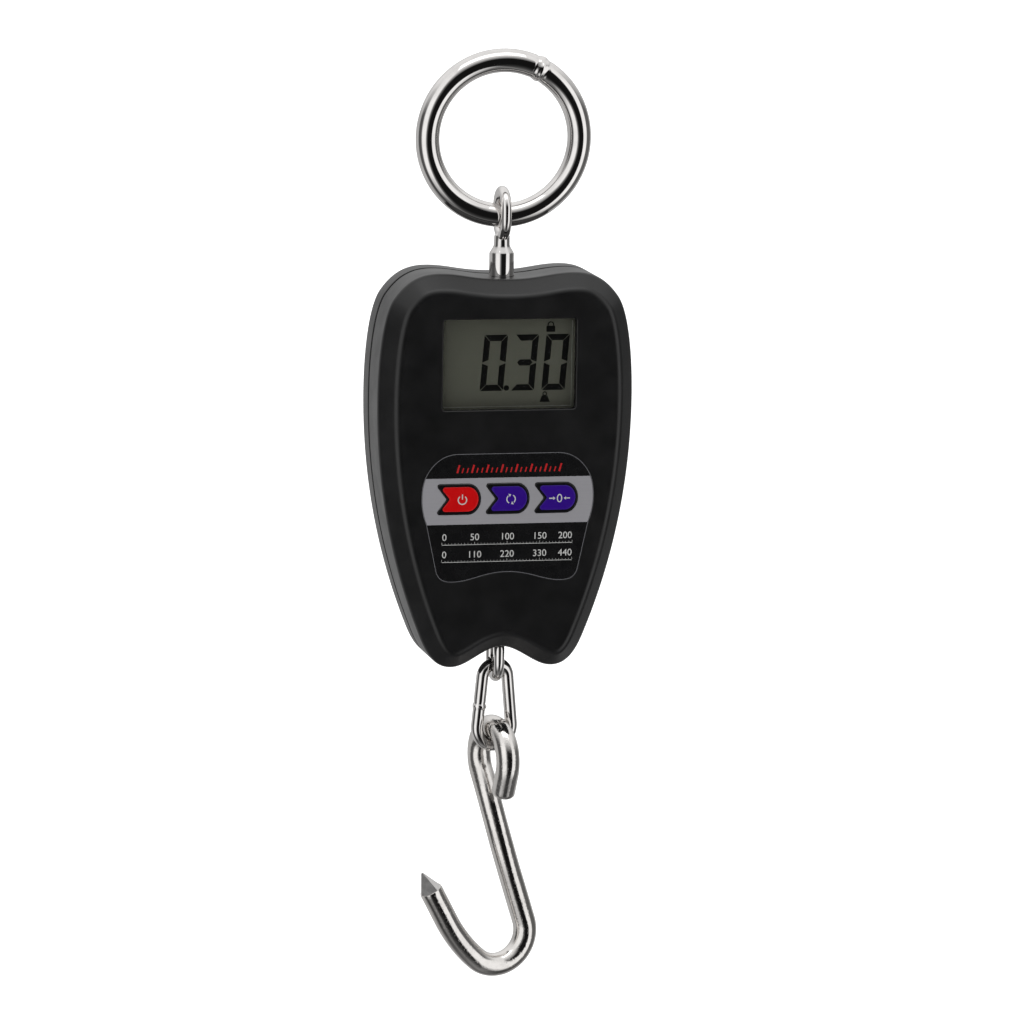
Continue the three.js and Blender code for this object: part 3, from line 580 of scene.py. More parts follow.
def eye_bolt(name, strand, up, stretch, neck_end, shank_end, thread_end):
    """The loop of wire, its neck, and the turned shank with its collar and thread."""
    far = strand + up * EYE_RADIUS
    near = far + up * stretch
    a, b = Vector((0, 0, far)), Vector((0, 0, near))
    up_axis = Z * up
    path = joined(
        arc(a, Y, up_axis, EYE_RADIUS, 180, 360, 0.4),
        line(a + Y * EYE_RADIUS, b + Y * EYE_RADIUS),
        arc(b, Y, up_axis, EYE_RADIUS, 0, 180, 0.4),
        line(b - Y * EYE_RADIUS, a - Y * EYE_RADIUS),
    )[:-1]
    loop = sweep(Build(), path, EYE_WIRE, 28, closed=True, seed=X)
    loop = loop.object(name, MATERIALS["polished_steel"])
    root = near + up * (EYE_RADIUS - 0.5)
    flare = neck_end - up * 2.4
    chamfer = up * 0.5
    profile = [
        (1.6, root - up * 0.6),
        (2.1, root),
        (2.65, root + up * 0.6),
        (2.7, flare),
        (3.0, flare + up * 0.8),
        (3.75, neck_end - up * 0.4),
        (3.95, neck_end),
        (COLLAR, neck_end + chamfer),
        (COLLAR, shank_end - chamfer),
        (COLLAR - 0.4, shank_end),
        (2.8, shank_end + up * 0.3),
        (2.8, thread_end - chamfer),
        (2.3, thread_end),
    ]
    shank = Build()
    shank.rings([[(x, z, height) for x, z in circle(radius)] for radius, height in profile])
    boolean(loop, [shank.object("shank", MATERIALS["polished_steel"])], "UNION")
    return loop


def eyes():
    low, high = span("lifting_eye")
    strand, shank_end = high.z - EYE_WIRE, span("upper_lock_nut")[1].z + GAP
    stretch = EYE_STRETCH["upper"]
    piece = eye_bolt("lifting_eye_bolt", strand, -1, stretch, UPPER_NECK_END, shank_end, low.z)
    place(piece, "housing", ["lifting_eye"], 50)
    low, high = span("lower_eye")
    strand, nut_bottom = low.z + EYE_WIRE, span("lower_lock_nut")[0].z
    stretch = EYE_STRETCH["lower"]
    neck_end = strand + 2 * EYE_RADIUS + stretch + EYE_WIRE + 3
    piece = eye_bolt("lower_eye_bolt", strand, 1, stretch, neck_end, nut_bottom - GAP, high.z)
    place(piece, "housing", ["lower_eye"], 50)


def chain_link():
    """A link that is narrower at the top. lean is the angle of its legs, which touch both bends."""
    low, high = span("chain_link")
    across = X * cos(YAW) + Y * sin(YAW)
    top = Vector((0, 0, high.z - LINK_WIRE - LINK_TOP_HALF))
    bottom = Vector((0, 0, low.z + LINK_WIRE + LINK_BOTTOM_HALF))
    lean = degrees(asin((LINK_BOTTOM_HALF - LINK_TOP_HALF) / (top.z - bottom.z)))
    top_bend = arc(top, across, Z, LINK_TOP_HALF, 180 - lean, lean, 0.4)
    bottom_bend = arc(bottom, across, Z, LINK_BOTTOM_HALF, lean, -180 - lean, 0.4)
    left_leg = line(bottom_bend[-1], top_bend[0], 0.35)
    path = joined(left_leg, top_bend, line(top_bend[-1], bottom_bend[0], 0.5), bottom_bend)[:-1]
    weld = bottom_bend[-1].lerp(top_bend[0], 0.4)

    def wire(i, angle):
        away = path[i].z - weld.z if i < len(left_leg) else 9
        bead = exp(-(away / 0.75) ** 2)
        notch = exp(-((away - 1.1) / 0.3) ** 2)
        lumps = noise.noise(Vector((i * 0.4, 2 * cos(angle), 2 * sin(angle))))
        return LINK_WIRE + bead * (0.3 + 0.25 * lumps) - notch * 0.12

    build = sweep(Build(), path, wire, 30, closed=True)
    build.piece("link_wire", "link", "polished_steel", 60, ["chain_link"])


def in_plane(angle):
    """A unit vector in the hook's own plane, by the degrees from across to up."""
    return Vector((cos(radians(angle)), 0, sin(radians(angle))))


def hook_path():
    """The same centre line as the CAD hook, and how many of its points are on the point's taper."""
    eye_centre = HOOK_WIRE + LINK_WIRE + GAP - HOOK_EYE
    tail_end, leave = (radians(a) for a in HOOK_EYE_ARC)
    exit_point = Vector((0, -HOOK_EYE * cos(leave), eye_centre + HOOK_EYE * sin(leave)))
    down = Vector((0, sin(leave), cos(leave)))
    bowl_centre = Vector((BOWL["u"], 0, BOWL["w"]))
    bowl = arc(bowl_centre, X, Z, BOWL["radius"], BOWL["start"], BOWL["end"])
    shank_down = in_plane(BOWL["start"] - 90)
    shank_start = bowl[0] + shank_down * (SHANK_TOP - bowl[0].z) / shank_down.z
    neck = cubic(exit_point, exit_point + down * 9, shank_start - shank_down * 15, shank_start, 48)
    limb_centre = bowl[-1] - in_plane(BOWL["end"]) * LIMB["radius"]
    limb = arc(limb_centre, X, Z, LIMB["radius"], BOWL["end"], LIMB["end"])
    limb_up = in_plane(LIMB["end"] - 90)
    limb_end = limb[-1] + limb_up * LIMB["straight"]
    taper = line(limb_end, limb_end + limb_up * LIMB["tip"], 0.35)
    eye = arc(Vector((0, 0, eye_centre)), -Y, Z, HOOK_EYE, *HOOK_EYE_ARC)
    tail = Vector((0, -sin(tail_end), -cos(tail_end))) * HOOK_TAIL
    path = joined(
        line(eye[0] + tail, eye[0], 0.5),
        eye,
        [Vector(p) for p in neck] + [shank_start],
        line(shank_start, bowl[0]),
        bowl,
        limb,
        line(limb[-1], limb_end, 0.8),
        taper,
    )
    turn = Matrix.Rotation(YAW, 3, "Z")
    return [turn @ p + pivot("hook_swing") for p in path], len(taper) - 1


def hook():
    """A bar whose end is squared off, and its ground point, whose flats start at a small shoulder."""
    path, tip_steps = hook_path()
    base = len(path) - 1 - tip_steps
    facets = 7

    def bar(i, angle):
        if i < 2:
            return HOOK_WIRE - (0.5, 0.1)[i]
        if i == base:
            return HOOK_WIRE - 0.12
        return HOOK_WIRE + 0.05 * noise.noise(Vector((i * 0.07, cos(angle), sin(angle))))

    def point(i, angle):
        taper = i / tip_steps
        side = angle % (TAU / facets) - TAU / facets / 2
        flat = cos(pi / facets) / cos(side)
        return (3.9 * (1 - taper) + 0.35 * taper) * flat

    build = sweep(Build(), path[:base + 1], bar, 48)
    build.object("hook_bar", HOOK_STEEL, 40, "hook", "polished_steel", ["hook"])
    build = sweep(Build(), path[base:], point, 56)
    build.object("hook_point", GROUND_STEEL, 20, "hook", "polished_steel")


# ------------------------------------------------------------------ housing
HOUSING = housing_outline()
HOUSING_LIMITS = inset_limits(HOUSING, 12)


def shell(name, stations):
    return Build().loft(HOUSING, stations, HOUSING_LIMITS).object(name, MATERIALS["housing_black"])


def fillet(corner, before, after, radius, steps=5):
    """(depth, inset) stations of a rounded corner between two straight walls of a section."""
    c, a, b = Vector(corner), Vector(before), Vector(after)
    p0 = c + (a - c).normalized() * radius
    p2 = c + (b - c).normalized() * radius
    curve = (i / steps for i in range(steps + 1))
    return [tuple(p0 * (1 - t) ** 2 + c * 2 * t * (1 - t) + p2 * t * t) for t in curve]


def cutter(outline, stations):
    return Build().loft(outline, stations).object("cutter", None)


def rods(radius, centres, y0, y1):
    """A round cutter at each centre, between two depths."""
    return [cutter(circle(radius, *centre), [(y0, 0), (y1, 0)]) for centre in centres]


KEY = {"w": 7.4, "h": 5.2, "oval": 4.4, "notch": 3.0}
KEY_PAD = {"w": 6.15, "h": 4.2, "oval": 3.7, "notch": 2.3}
# radii of the screws' posts and holes, and of the bores that the key plungers slide in
CASE_POST = {"front": 3.6, "rear": 4.6, "hole": 1.8, "well": 3.3}
BOARD_POST = {"outside": 2.4, "hole": 1.2}
CELL_POST = {"outside": 3.0, "hole": 1.7}
PLUNGER_BORE = 2.8


def key_outline(size, grow, cx, cz, steps=16):
    """Clockwise: a flat top, an oval right end, and a notch at the left like an arrow's tail."""
    w, h = size["w"] + grow, size["h"] + grow
    oval, notch, corner = size["oval"] + grow / 2, size["notch"], 0.9
    points = []
    for i in range(steps + 1):
        angle = pi * i / steps
        points.append((w - oval + oval * sin(angle), h * cos(angle)))
    lower = []
    for i in range(6):
        angle = radians(180 + 115 * i / 5)
        lower.append((corner - w + corner * sin(angle), corner - h + corner * cos(angle)))
    lower += [(notch - w - 0.32, -0.62), (notch - w - 0.06, -0.24)]
    points += lower + [(notch - w, 0.0)] + [(x, -z) for x, z in reversed(lower)]
    return [(cx + x, cz + z) for x, z in points]


def front_cover():
    bevel_depth, bevel_in = 6.0, 5.3
    face, wall_start, lip = FRONT, FRONT + bevel_depth, 1.3
    rim = SPLIT - 0.8
    outer = (
        fillet((face, bevel_in), (face, bevel_in + 3), (wall_start, 0), 1.5)
        + fillet((wall_start, 0), (face, bevel_in), (rim, 0), 1.0)
        + fillet((rim, 0), (wall_start, 0), (rim, lip), 0.35, 3)
        + [(rim, lip), (SPLIT - SEAM, lip)]
    )
    inner = [
        (SPLIT - SEAM, WALL),
        (wall_start + WALL, WALL),
        (face + WALL, bevel_in + WALL),
    ]
    cover = shell("front_shell", outer + inner)
    floor_y = face + WALL - 0.6
    board_y = span("main_board")[0].y - GAP
    case_spots, board_spots = spots("case_screw", 4), spots("board_screw", 4)
    posts = rods(CASE_POST["front"], case_spots, floor_y, 7.0)
    posts += rods(BOARD_POST["outside"], board_spots, floor_y, board_y)
    boolean(cover, posts, "UNION")
    window = rounded_rect(*WINDOW, 0.9, 0, DISPLAY_Z)
    window_edge = [(face - 1, -0.5), (face, -0.5), (face + 0.15, -0.2), (face + 0.5, 0), (face + 4, 0)]
    cut_window = cutter(window, window_edge)
    seat = LABEL_HIGH.y + 0.1
    cut_label = cutter(label_outline(), [(face - 1, -0.2), (face, -0.2), (face + 0.12, -0.08), (seat, -0.08)])
    hole = cutter(circle(COLLAR + 0.35), [(0, 0), (12, 0)])
    hole.data.transform(Matrix.Rotation(radians(90), 4, "X"))
    hole.data.transform(Matrix.Translation(Vector((0, 0, TOP - 14)) * MM))
    boolean(cover, [cut_window, cut_label, hole, eye_slot()])
    holes = rods(CASE_POST["hole"], case_spots, -8.0, 8.0)
    holes += rods(BOARD_POST["hole"], board_spots, -12.0, board_y + 1)
    for name in KEY_NAMES:
        spot, pocket = middle(name + "_key"), span(name + "_key")[1].y + 0.6
        holes.append(cutter(key_outline(KEY, 0.2, *spot), [(face - 1, 0), (pocket, 0)]))
        holes += rods(PLUNGER_BORE, [spot], face, face + WALL + 1)
    boolean(cover, holes)
    place(cover, "housing", ["front_cover"], 40)


def eye_slot():
    """The slot under the housing that the lower eye hangs through, cut through both covers."""
    reach = EYE_RADIUS + EYE_WIRE + 0.8
    top, bottom = TOP - 122.2, TOP - 135
    build = Build()
    rect = rounded_rect(5.6, 2 * reach, 2.6)
    build.rings([[(x, y, z) for x, y in rect] for z in (top, bottom)])
    return build.object("slot", None)


BAY_HALF_X, BAY_HALF_Z = 25.8, 17.2
LEAD_RISE = 11  # how far above the middle battery its leads leave the bay


def rear_shell():
    """The rear cover's section runs from the inner floor, out over the rim, to the outer back."""
    bevel_depth, bevel_in, lip = 2.5, 2.5, 1.3
    rim = SPLIT + 0.8
    stations = [
        (BACK - WALL, bevel_in + WALL),
        (BACK - bevel_depth - WALL, WALL),
        (SPLIT + SEAM, WALL),
        (SPLIT + SEAM, lip),
        (rim, lip),
    ]
    stations += fillet((rim, 0), (rim, lip), (BACK - bevel_depth, 0), 0.35, 3)
    stations += fillet((BACK - bevel_depth, 0), (rim, 0), (BACK, bevel_in), 1.4)
    stations += fillet((BACK, bevel_in), (BACK - bevel_depth, 0), (BACK, bevel_in + 3), 1.4)
    stations += [(BACK, bevel_in + 3)]
    cover = shell("rear_shell", stations)
    door_z = (DOOR_LOW.z + DOOR_HIGH.z) / 2
    floor_y = BACK - WALL + 0.4
    tub = cutter(
        rounded_rect(2 * BAY_HALF_X + 2.4, 2 * BAY_HALF_Z + 2.4, 1.5, 0, door_z),
        [(floor_y, 0), (5.0, 0)])
    case_spots, cell_spots = spots("case_screw", 4), spots("cell_screw", 2)
    cell_y = span("load_cell")[1].y + GAP
    posts = rods(CASE_POST["rear"], case_spots, floor_y, 7.3)
    posts += rods(CELL_POST["outside"], cell_spots, floor_y, cell_y)
    boolean(cover, [tub] + posts, "UNION")
    width, height = DOOR_HIGH.x - DOOR_LOW.x, DOOR_HIGH.z - DOOR_LOW.z
    seat = rounded_rect(width + 0.5, height + 0.5, 1.2, 0, door_z)
    cut_seat = cutter(seat, [(DOOR_LOW.y - 0.25, 0), (BACK - 0.25, 0), (BACK, -0.25), (BACK + 1, -0.25)])
    bay = rounded_rect(2 * BAY_HALF_X, 2 * BAY_HALF_Z, 1, 0, door_z)
    cut_bay = cutter(bay, [(6.0, 0), (BACK + 1, 0)])
    well = [(9.3, 0), (BACK - 0.3, 0), (BACK, -0.3), (BACK + 1, -0.3)]
    holes = [cutter(circle(CASE_POST["well"], *spot), well) for spot in case_spots]
    holes += rods(CASE_POST["hole"], case_spots, 6.3, 10.3)
    holes += rods(CELL_POST["hole"], cell_spots, cell_y - 1, 14.0)
    lead_z = middle("battery_2")[1] + LEAD_RISE
    for side in (1, -1):
        slot = rounded_rect(4, 3, 0.2, side * BAY_HALF_X, lead_z)
        holes.append(cutter(slot, [(9.5, 0), (12.5, 0)]))
    boolean(cover, [cut_seat, cut_bay, eye_slot()] + holes)
    place(cover, "housing", ["rear_cover"], 40)


def battery_door():
    low, high = DOOR_LOW, DOOR_HIGH
    cz = (low.z + high.z) / 2
    outline = rounded_rect(high.x - low.x, high.z - low.z, 1.1, 0, cz, 5)
    stations = [(low.y, 0.35), (low.y + 0.35, 0)]
    stations += fillet((high.y, 0), (low.y, 0), (high.y, 3), 0.45, 4)
    door = Build().loft(outline, stations).object("door_panel", MATERIALS["housing_black"])
    grip_z = high.z - 5.0
    scoop = cutter(
        rounded_rect(16, 5, 2.4, 0, grip_z),
        [(high.y + 1, -0.4), (high.y, -0.2), (high.y - 0.35, 0.3), (high.y - 0.75, 1.2)])
    boolean(door, [scoop])
    place(door, "door", ["battery_door"], 40)
    grip = Build()
    for z in (grip_z - 1.2, grip_z, grip_z + 1.2):
        bar = [(high.y - 0.95, 0), (high.y - 0.3, 0), (high.y - 0.15, 0.15)]
        grip.loft(rounded_rect(9, 0.55, 0.26, 0, z), bar)
    arrow_z = high.z - 11
    arrow = [(0, arrow_z + 2.2), (2.4, arrow_z - 1.6), (-2.4, arrow_z - 1.6)]
    grip.loft(arrow, [(high.y - 0.3, 0), (high.y, 0), (high.y + 0.12, 0.2)])
    grip.piece("door_grip", "door", "housing_black", 40)


def screws():
    """Each case screw's profile runs from its tip to the top of its cross-slotted head."""
    sides = [TAU * k / 32 for k in range(32)]
    for i in range(1, 5):
        low, high = span(f"case_screw_{i}")
        cx, cz = middle(f"case_screw_{i}")
        head = high.y
        profile = [(0.3, low.y), (1.45, low.y + 1.4)]
        profile += [(r, head - d) for r, d in ((1.45, 2.2), (2.6, 2.2), (2.8, 1.9), (2.75, 0.8), (2.3, 0.3))]
        profile += [(1.2, head - 0.05), (0.2, head)]
        rings = [[(cx + r * cos(a), y, cz + r * sin(a)) for a in sides] for r, y in profile]
        piece = Build().rings(rings).object(f"case_screw_{i}_fine", MATERIALS["nickel"])
        slot = [(head - 1.1, 0.2), (head + 0.5, 0)]
        arms = [cutter(rounded_rect(w, h, 0.3, cx, cz), slot) for w, h in ((3.4, 0.8), (0.8, 3.4))]
        boolean(piece, arms)
        place(piece, "housing", [f"case_screw_{i}"], 40)


# ------------------------------------------------------------------ display
SEGMENTS = {"0": "abcdef", "3": "abcdg"}
DIGIT = {"width": 8.0, "height": 18.9, "stroke": 2.05, "slant": 0.078, "pitch": 10.6, "gap": 0.22}


def seven_segment(build, digit, x, z, y0, y1):
    """One digit whose lower left corner is at x, z. Strokes have mitred ends with small gaps."""
    width, height, s, g = DIGIT["width"], DIGIT["height"], DIGIT["stroke"], DIGIT["gap"]
    half = height / 2
    for seg in SEGMENTS[digit]:
        if seg in "ad":
            base, sign = (height, -1) if seg == "a" else (0, 1)
            points = [(g, base), (width - g, base), (width - s, base + sign * s), (s, base + sign * s)]
        elif seg == "g":
            points = [(g + s * 0.55, half), (s + g, half + s / 2), (width - s - g, half + s / 2),
                      (width - g - s * 0.55, half), (width - s - g, half - s / 2), (s + g, half - s / 2)]
        else:
            outer, inner = (width, width - s) if seg in "bc" else (0, s)
            if seg in "bf":
                heights = (height - g, height - s - g, half + s / 2, half + g)
            else:
                heights = (g, s + g, half - s / 2, half - g)
            points = list(zip((outer, inner, inner, outer), heights))
        slanted = [(x + px + DIGIT["slant"] * pz, z + pz) for px, pz in clockwise(points)]
        build.prism(slanted, y0, y1)


def text_mesh(name, words, size, x, z, y, material, body, align):
    """Plain numerals, as thin solids facing the front."""
    curve = bpy.data.curves.new(name, "FONT")
    curve.body = words
    curve.size = size * MM
    curve.align_x = align
    curve.extrude = 0.015 * MM
    piece = linked(name, curve)
    bpy.context.view_layer.update()
    graph = bpy.context.evaluated_depsgraph_get()
    mesh = bpy.data.meshes.new_from_object(piece.evaluated_get(graph))
    bpy.data.objects.remove(piece)
    mesh.transform(Matrix.Rotation(radians(90), 4, "X"))
    mesh.transform(Matrix.Translation(Vector((x, y, z)) * MM))
    made = linked(name, mesh)
    mesh.materials.clear()
    mesh.materials.append(material)
    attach(made, body)
    return made


def display():
    y = LCD_LOW.y
    panel = rounded_rect(LCD_HIGH.x - LCD_LOW.x, LCD_HIGH.z - LCD_LOW.z, 0.5, 0, DISPLAY_Z)
    Build().prism(panel, y, LCD_HIGH.y, 0.2).piece("lcd_sandwich", "housing", "lcd_glass", 30, ["lcd_panel"])
    half_w, half_h = WINDOW[0] / 2, WINDOW[1] / 2
    left, right = -half_w + 0.55, half_w - 0.7
    upper, lower = DISPLAY_Z + half_h - 1, DISPLAY_Z - half_h + 0.6
    edge = [(left, upper), (left, lower), (right, lower), (right, upper)]
    Build().ribbon(edge, 0.22, y - 0.06, y - 0.01).object(
        "lcd_glass_edge", GLASS_EDGE, 0, "housing", "lcd_glass")
    digits = Build()
    bottom = TOP - 39.4
    left = -9.5
    front, back = y - 0.08, y - 0.02
    for i, digit in enumerate("030"):
        seven_segment(digits, digit, left + i * DIGIT["pitch"], bottom, front, back)
    digits.prism(circle(0.92, left + DIGIT["width"] + 1.15, bottom + 0.9, 20), front, back)
    ink(digits, "lcd_digits", SEGMENT_BLACK, "lcd_glass")
    weight = Build()
    weight_x, weight_z = 12.9, TOP - 43.4
    sides = ((0.95, 2.1), (1.75, 0), (-1.75, 0), (-0.95, 2.1))
    weight.prism([(weight_x + dx, weight_z + dz) for dx, dz in sides], front, back)
    weight.ribbon(circle(0.62, weight_x, weight_z + 2.75, 16), 0.34, front, back, closed=True)
    ink(weight, "lcd_weight_icon", SEGMENT_BLACK, "lcd_glass")
    lock = Build()
    lock_x, lock_z = 14.6, TOP - 18.0
    lock.prism(rounded_rect(3.0, 2.0, 0.25, lock_x, lock_z - 0.7), front, back)
    shackle = [(lock_x - 0.95, lock_z + 0.35)]
    for k in range(11):
        angle = pi * k / 10
        shackle.append((lock_x - 0.95 * cos(angle), lock_z + 0.75 + 0.9 * sin(angle)))
    shackle += [(lock_x + 0.95, lock_z + 0.35)]
    lock.ribbon(shackle, 0.36, front, back)
    ink(lock, "lcd_lock_icon", SEGMENT_BLACK, "lcd_glass")
    pane = rounded_rect(WINDOW[0] - 0.3, WINDOW[1] - 0.3, 0.8, 0, DISPLAY_Z)
    build = Build().prism(pane, PANE_LOW.y, PANE_HIGH.y, 0.15)
    build.piece("window_pane", "housing", "window_clear", 30, ["display_window"])


# ------------------------------------------------------------------ label and keys
def strip_of(outline, high, low, steps=10):
    """The part of a left-right symmetric outline between two heights, clockwise from its top left."""
    right = [p for p in outline if p[0] > 0]

    def half_width(z):
        for a, b in zip(right, right[1:]):
            if min(a[1], b[1]) <= z <= max(a[1], b[1]) and a[1] != b[1]:
                return a[0] + (b[0] - a[0]) * (z - a[1]) / (b[1] - a[1])
        return max(x for x, _ in right)

    heights = [high + (low - high) * i / steps for i in range(steps + 1)]
    side = [(half_width(z), z) for z in heights]
    return side + [(-x, z) for x, z in reversed(side)]


def label():
    outline = label_outline()
    y0, y1 = LABEL_LOW.y, LABEL_HIGH.y
    base = Build().prism(outline, y0, y1, 0.06).object("label_sheet", MATERIALS["label_film"])
    strip = strip_of(inset(outline, 0.35), TOP - 68.3, TOP - 84.0)
    band = Build().prism(strip, y0 - 0.03, y0 + 0.1).object("label_band", BAND_SILVER)
    for piece in (base, band):
        windows = [key_outline(KEY, 0.12, *middle(name + "_key")) for name in KEY_NAMES]
        boolean(piece, [cutter(window, [(y0 - 1, 0), (y1 + 1, 0)]) for window in windows])
    place(base, "housing", ["key_label"], 30)
    place(band, "housing", (), 0)
    # a thin grey line just inside the label's edge
    Build().ribbon(inset(outline, 0.16), 0.2, y0 - 0.03, y0 + 0.05, closed=True).object(
        "label_border", LABEL_EDGE_GREY, 0, "housing", "label_film")
    printed_scales(y0)


def printed_scales(y0):
    """Two graduated lines with numerals, and a red row of slanted graduations above the keys."""
    front, back = y0 - 0.03, y0 + 0.05
    lines = Build()
    half = 22.4
    for z in (-90.9, -96.8):
        lines.ribbon([(-half, TOP + z), (half, TOP + z)], 0.16, front, back)
        for i in range(41):
            x = -half + 2 * half * i / 40
            tall = 0.7 if i % 10 == 0 else 0.35
            lines.ribbon([(x, TOP + z + 0.2), (x, TOP + z + 0.2 + tall)], 0.1, front, back)
    ink(lines, "label_graduations", PRINT_WHITE)
    for row, (z, step) in enumerate(((-89.4, 50), (-95.3, 110))):
        for i in range(5):
            x = -half + 2 * half * i / 4
            align = "LEFT" if i == 0 else "RIGHT" if i == 4 else "CENTER"
            text_mesh(f"label_number_{row}_{i}", str(step * i), 3.25, x, TOP + z, y0 - 0.015, PRINT_WHITE,
                      "housing", align)
    red = Build()
    count, wide, tall, slant = 22, 35.0, 2.7, 0.28
    z = TOP - 66.5
    for i in range(count):
        x = -wide / 2 + wide * i / (count - 1)
        h, stroke = (tall, 0.62) if i % 3 == 0 else (tall * 0.62, 0.42)
        red.ribbon([(x, z), (x + slant * h, z + h)], stroke, front, back)
    ink(red, "label_red_graduations", PRINT_RED)


def key_icons(name, cx, cz, y0, slot):
    """White marks: a power sign, two turning arrows, and a zero between arrowheads."""
    icon = Build()
    front, back = y0 - 0.04, y0 + 0.02
    radius, stroke = 1.45, 0.36

    def bow(start, end, steps=24):
        angles = [radians(start + (end - start) * i / steps) for i in range(steps + 1)]
        points = [(cx + radius * sin(a), cz + radius * cos(a)) for a in angles]
        icon.ribbon(points, stroke, front, back)

    def head(x, z, dx, dz):
        """An arrowhead at x, z that points along dx, dz."""
        length, half = 0.75, 0.6
        ahead, across = Vector((dx, dz)) * length, Vector((-dz, dx)) * half
        points = [(x + ahead.x, z + ahead.y), (x + across.x, z + across.y), (x - across.x, z - across.y)]
        icon.prism(clockwise(points), front, back)

    if name == "power":
        bow(38, 322)
        icon.ribbon([(cx, cz + 0.2), (cx, cz + 1.9)], stroke, front, back)
    elif name == "mode":
        for side in (1, -1):
            bow(90 * side - 62, 90 * side + 50)
            end = radians(90 * side + 62)
            head(cx + radius * sin(end), cz + radius * cos(end), cos(end), -sin(end))
    else:
        icon.ribbon(oval(0.75, 1.25, cx, cz, 24), stroke, front, back, closed=True)
        for side in (1, -1):
            icon.ribbon([(cx + side * 3.6, cz), (cx + side * 2.3, cz)], 0.34, front, back)
            head(cx + side * 2.2, cz, -side, 0)
    icon.object(name + "_key_icon", PRINT_WHITE, 0, name + "_button", slot)


def keys():
    """Each key is a black rim with a coloured cap on it."""
    for name in KEY_NAMES:
        low, high = span(name + "_key")
        cx, cz = middle(name + "_key")
        slot = "key_red" if name == "power" else "key_blue"
        y0, y1 = low.y, high.y
        rim = [(y0 + 0.26, 0.5), (y0 + 0.24, 0.38), (y0 + 0.3, 0.18), (y0 + 0.5, 0), (y1, 0)]
        Build().loft(key_outline(KEY, 0, cx, cz), rim).object(
            name + "_key_rim", RIM_BLACK, 40, name + "_button", "label_film")
        crown = [(y0, 0.45), (y0 + 0.03, 0.28), (y0 + 0.1, 0.13), (y0 + 0.2, 0.03), (y0 + 0.5, 0)]
        build = Build().loft(key_outline(KEY_PAD, 0, cx + 0.45, cz), crown)
        build.piece(name + "_key_pad", name + "_button", slot, 50, [name + "_key"])
        key_icons(name, cx + 1.0, cz - 0.2, y0, slot)


# ------------------------------------------------------------------ batteries
def lathe_x(profile, cy, cz):
    angles = [TAU * k / 40 for k in range(40)]
    rings = [[(x, cy + r * cos(a), cz + r * sin(a)) for a in angles] for x, r in profile]
    return Build().rings(rings)


def batteries():
    for i in range(1, 4):
        low, high = span(f"battery_{i}")
        cy, cz = (low.y + high.y) / 2, middle(f"battery_{i}")[1]
        radius = (high.y - low.y) / 2
        plus = 1 if i % 2 else -1
        start, end = (low.x, high.x) if plus > 0 else (high.x, low.x)
        sleeve = [(start + plus * d, radius - r) for d, r in ((0.3, 1.1), (0.15, 0.5), (0.5, 0))]
        sleeve += [(end - plus * d, radius - r) for d, r in ((1.5, 0), (1.05, 0.5), (1.2, 1.2))]
        name = f"battery_{i}"
        lathe_x(sleeve, cy, cz).piece(name + "_sleeve", "housing", "battery_sleeve", 40, [name])
        cap = [(end - plus * d, r) for d, r in ((1.15, 3.6), (1.0, 3.4), (1.0, 1.9), (0.2, 1.8), (0, 1.5))]
        lathe_x(cap, cy, cz).piece(name + "_cap", "housing", "nickel", 40)
        spring(i, -plus, cy, cz)


def spring(i, side, cy, cz):
    """A coil that narrows towards its battery. side is the end of the bay that it stands on."""
    name = f"battery_spring_{i}"
    low, high = span(name)
    outer, inner = (high.x, low.x) if side > 0 else (low.x, high.x)
    wire, turns, steps = 0.35, 3, 110
    outer -= side * wire
    inner += side * wire
    path = []
    for k in range(steps + 1):
        t = k / steps
        angle = TAU * turns * t
        r = 3.6 - 1.4 * t
        path.append(Vector((outer + (inner - outer) * t, cy + r * cos(angle), cz + r * sin(angle))))
    sweep(Build(), path, wire, 12, seed=X).piece(name + "_coil", "housing", "nickel", 60, [name])


# ------------------------------------------------------------------ CAD nodes that stay
def finish_cad_nodes():
    slots = {part["node"]: part["material_slot"] for part in frame["record"]["subparts"]}
    for name, node in frame["nodes"].items():
        node.data.materials.clear()
        node.data.materials.append(MATERIALS[slots[name]])


# ------------------------------------------------------------------ studio
# brightness round the horizon, by degrees to the right of the camera
ROUND_THE_SIDES = (
    (-180, 0.50), (-104, 0.54), (-90, 0.08), (-74, 0.10), (-64, 0.10), (-50, 1.10), (-20, 1.10), (-8, 0.16),
    (4, 0.008), (42, 0.008), (47, 1.10), (76, 1.10), (82, 0.14), (124, 0.12), (138, 0.46), (180, 0.50),
)
# brightness by degrees above the camera's axis, and how far it takes over from the horizon's
UP_AND_DOWN = ((-90, 0.25), (-60, 0.06), (-30, 0.01), (0, 0.03), (9, 0.85), (60, 1.0), (90, 0.9))
CEILING_SHARE = ((-90, 1.0), (-60, 0.9), (-34, 0.0), (12, 0.0), (40, 0.9), (90, 1.0))
CAMERA = {"azimuth": -12.87, "elevation": 9.68, "roll": 0.96, "distance": 2000.0, "lens": 207.8}
TARGET = Vector((5.05, 0, -149.1))


def view_axes(roll):
    """Right, up and back of a view at the camera's azimuth and elevation, turned by roll."""
    a, e = radians(CAMERA["azimuth"]), radians(CAMERA["elevation"])
    back = Vector((sin(a) * cos(e), -cos(a) * cos(e), sin(e)))
    right = Vector((cos(a), sin(a), 0))
    up = back.cross(right)
    return (
        right * cos(roll) + up * sin(roll),
        up * cos(roll) - right * sin(roll),
        back,
    )


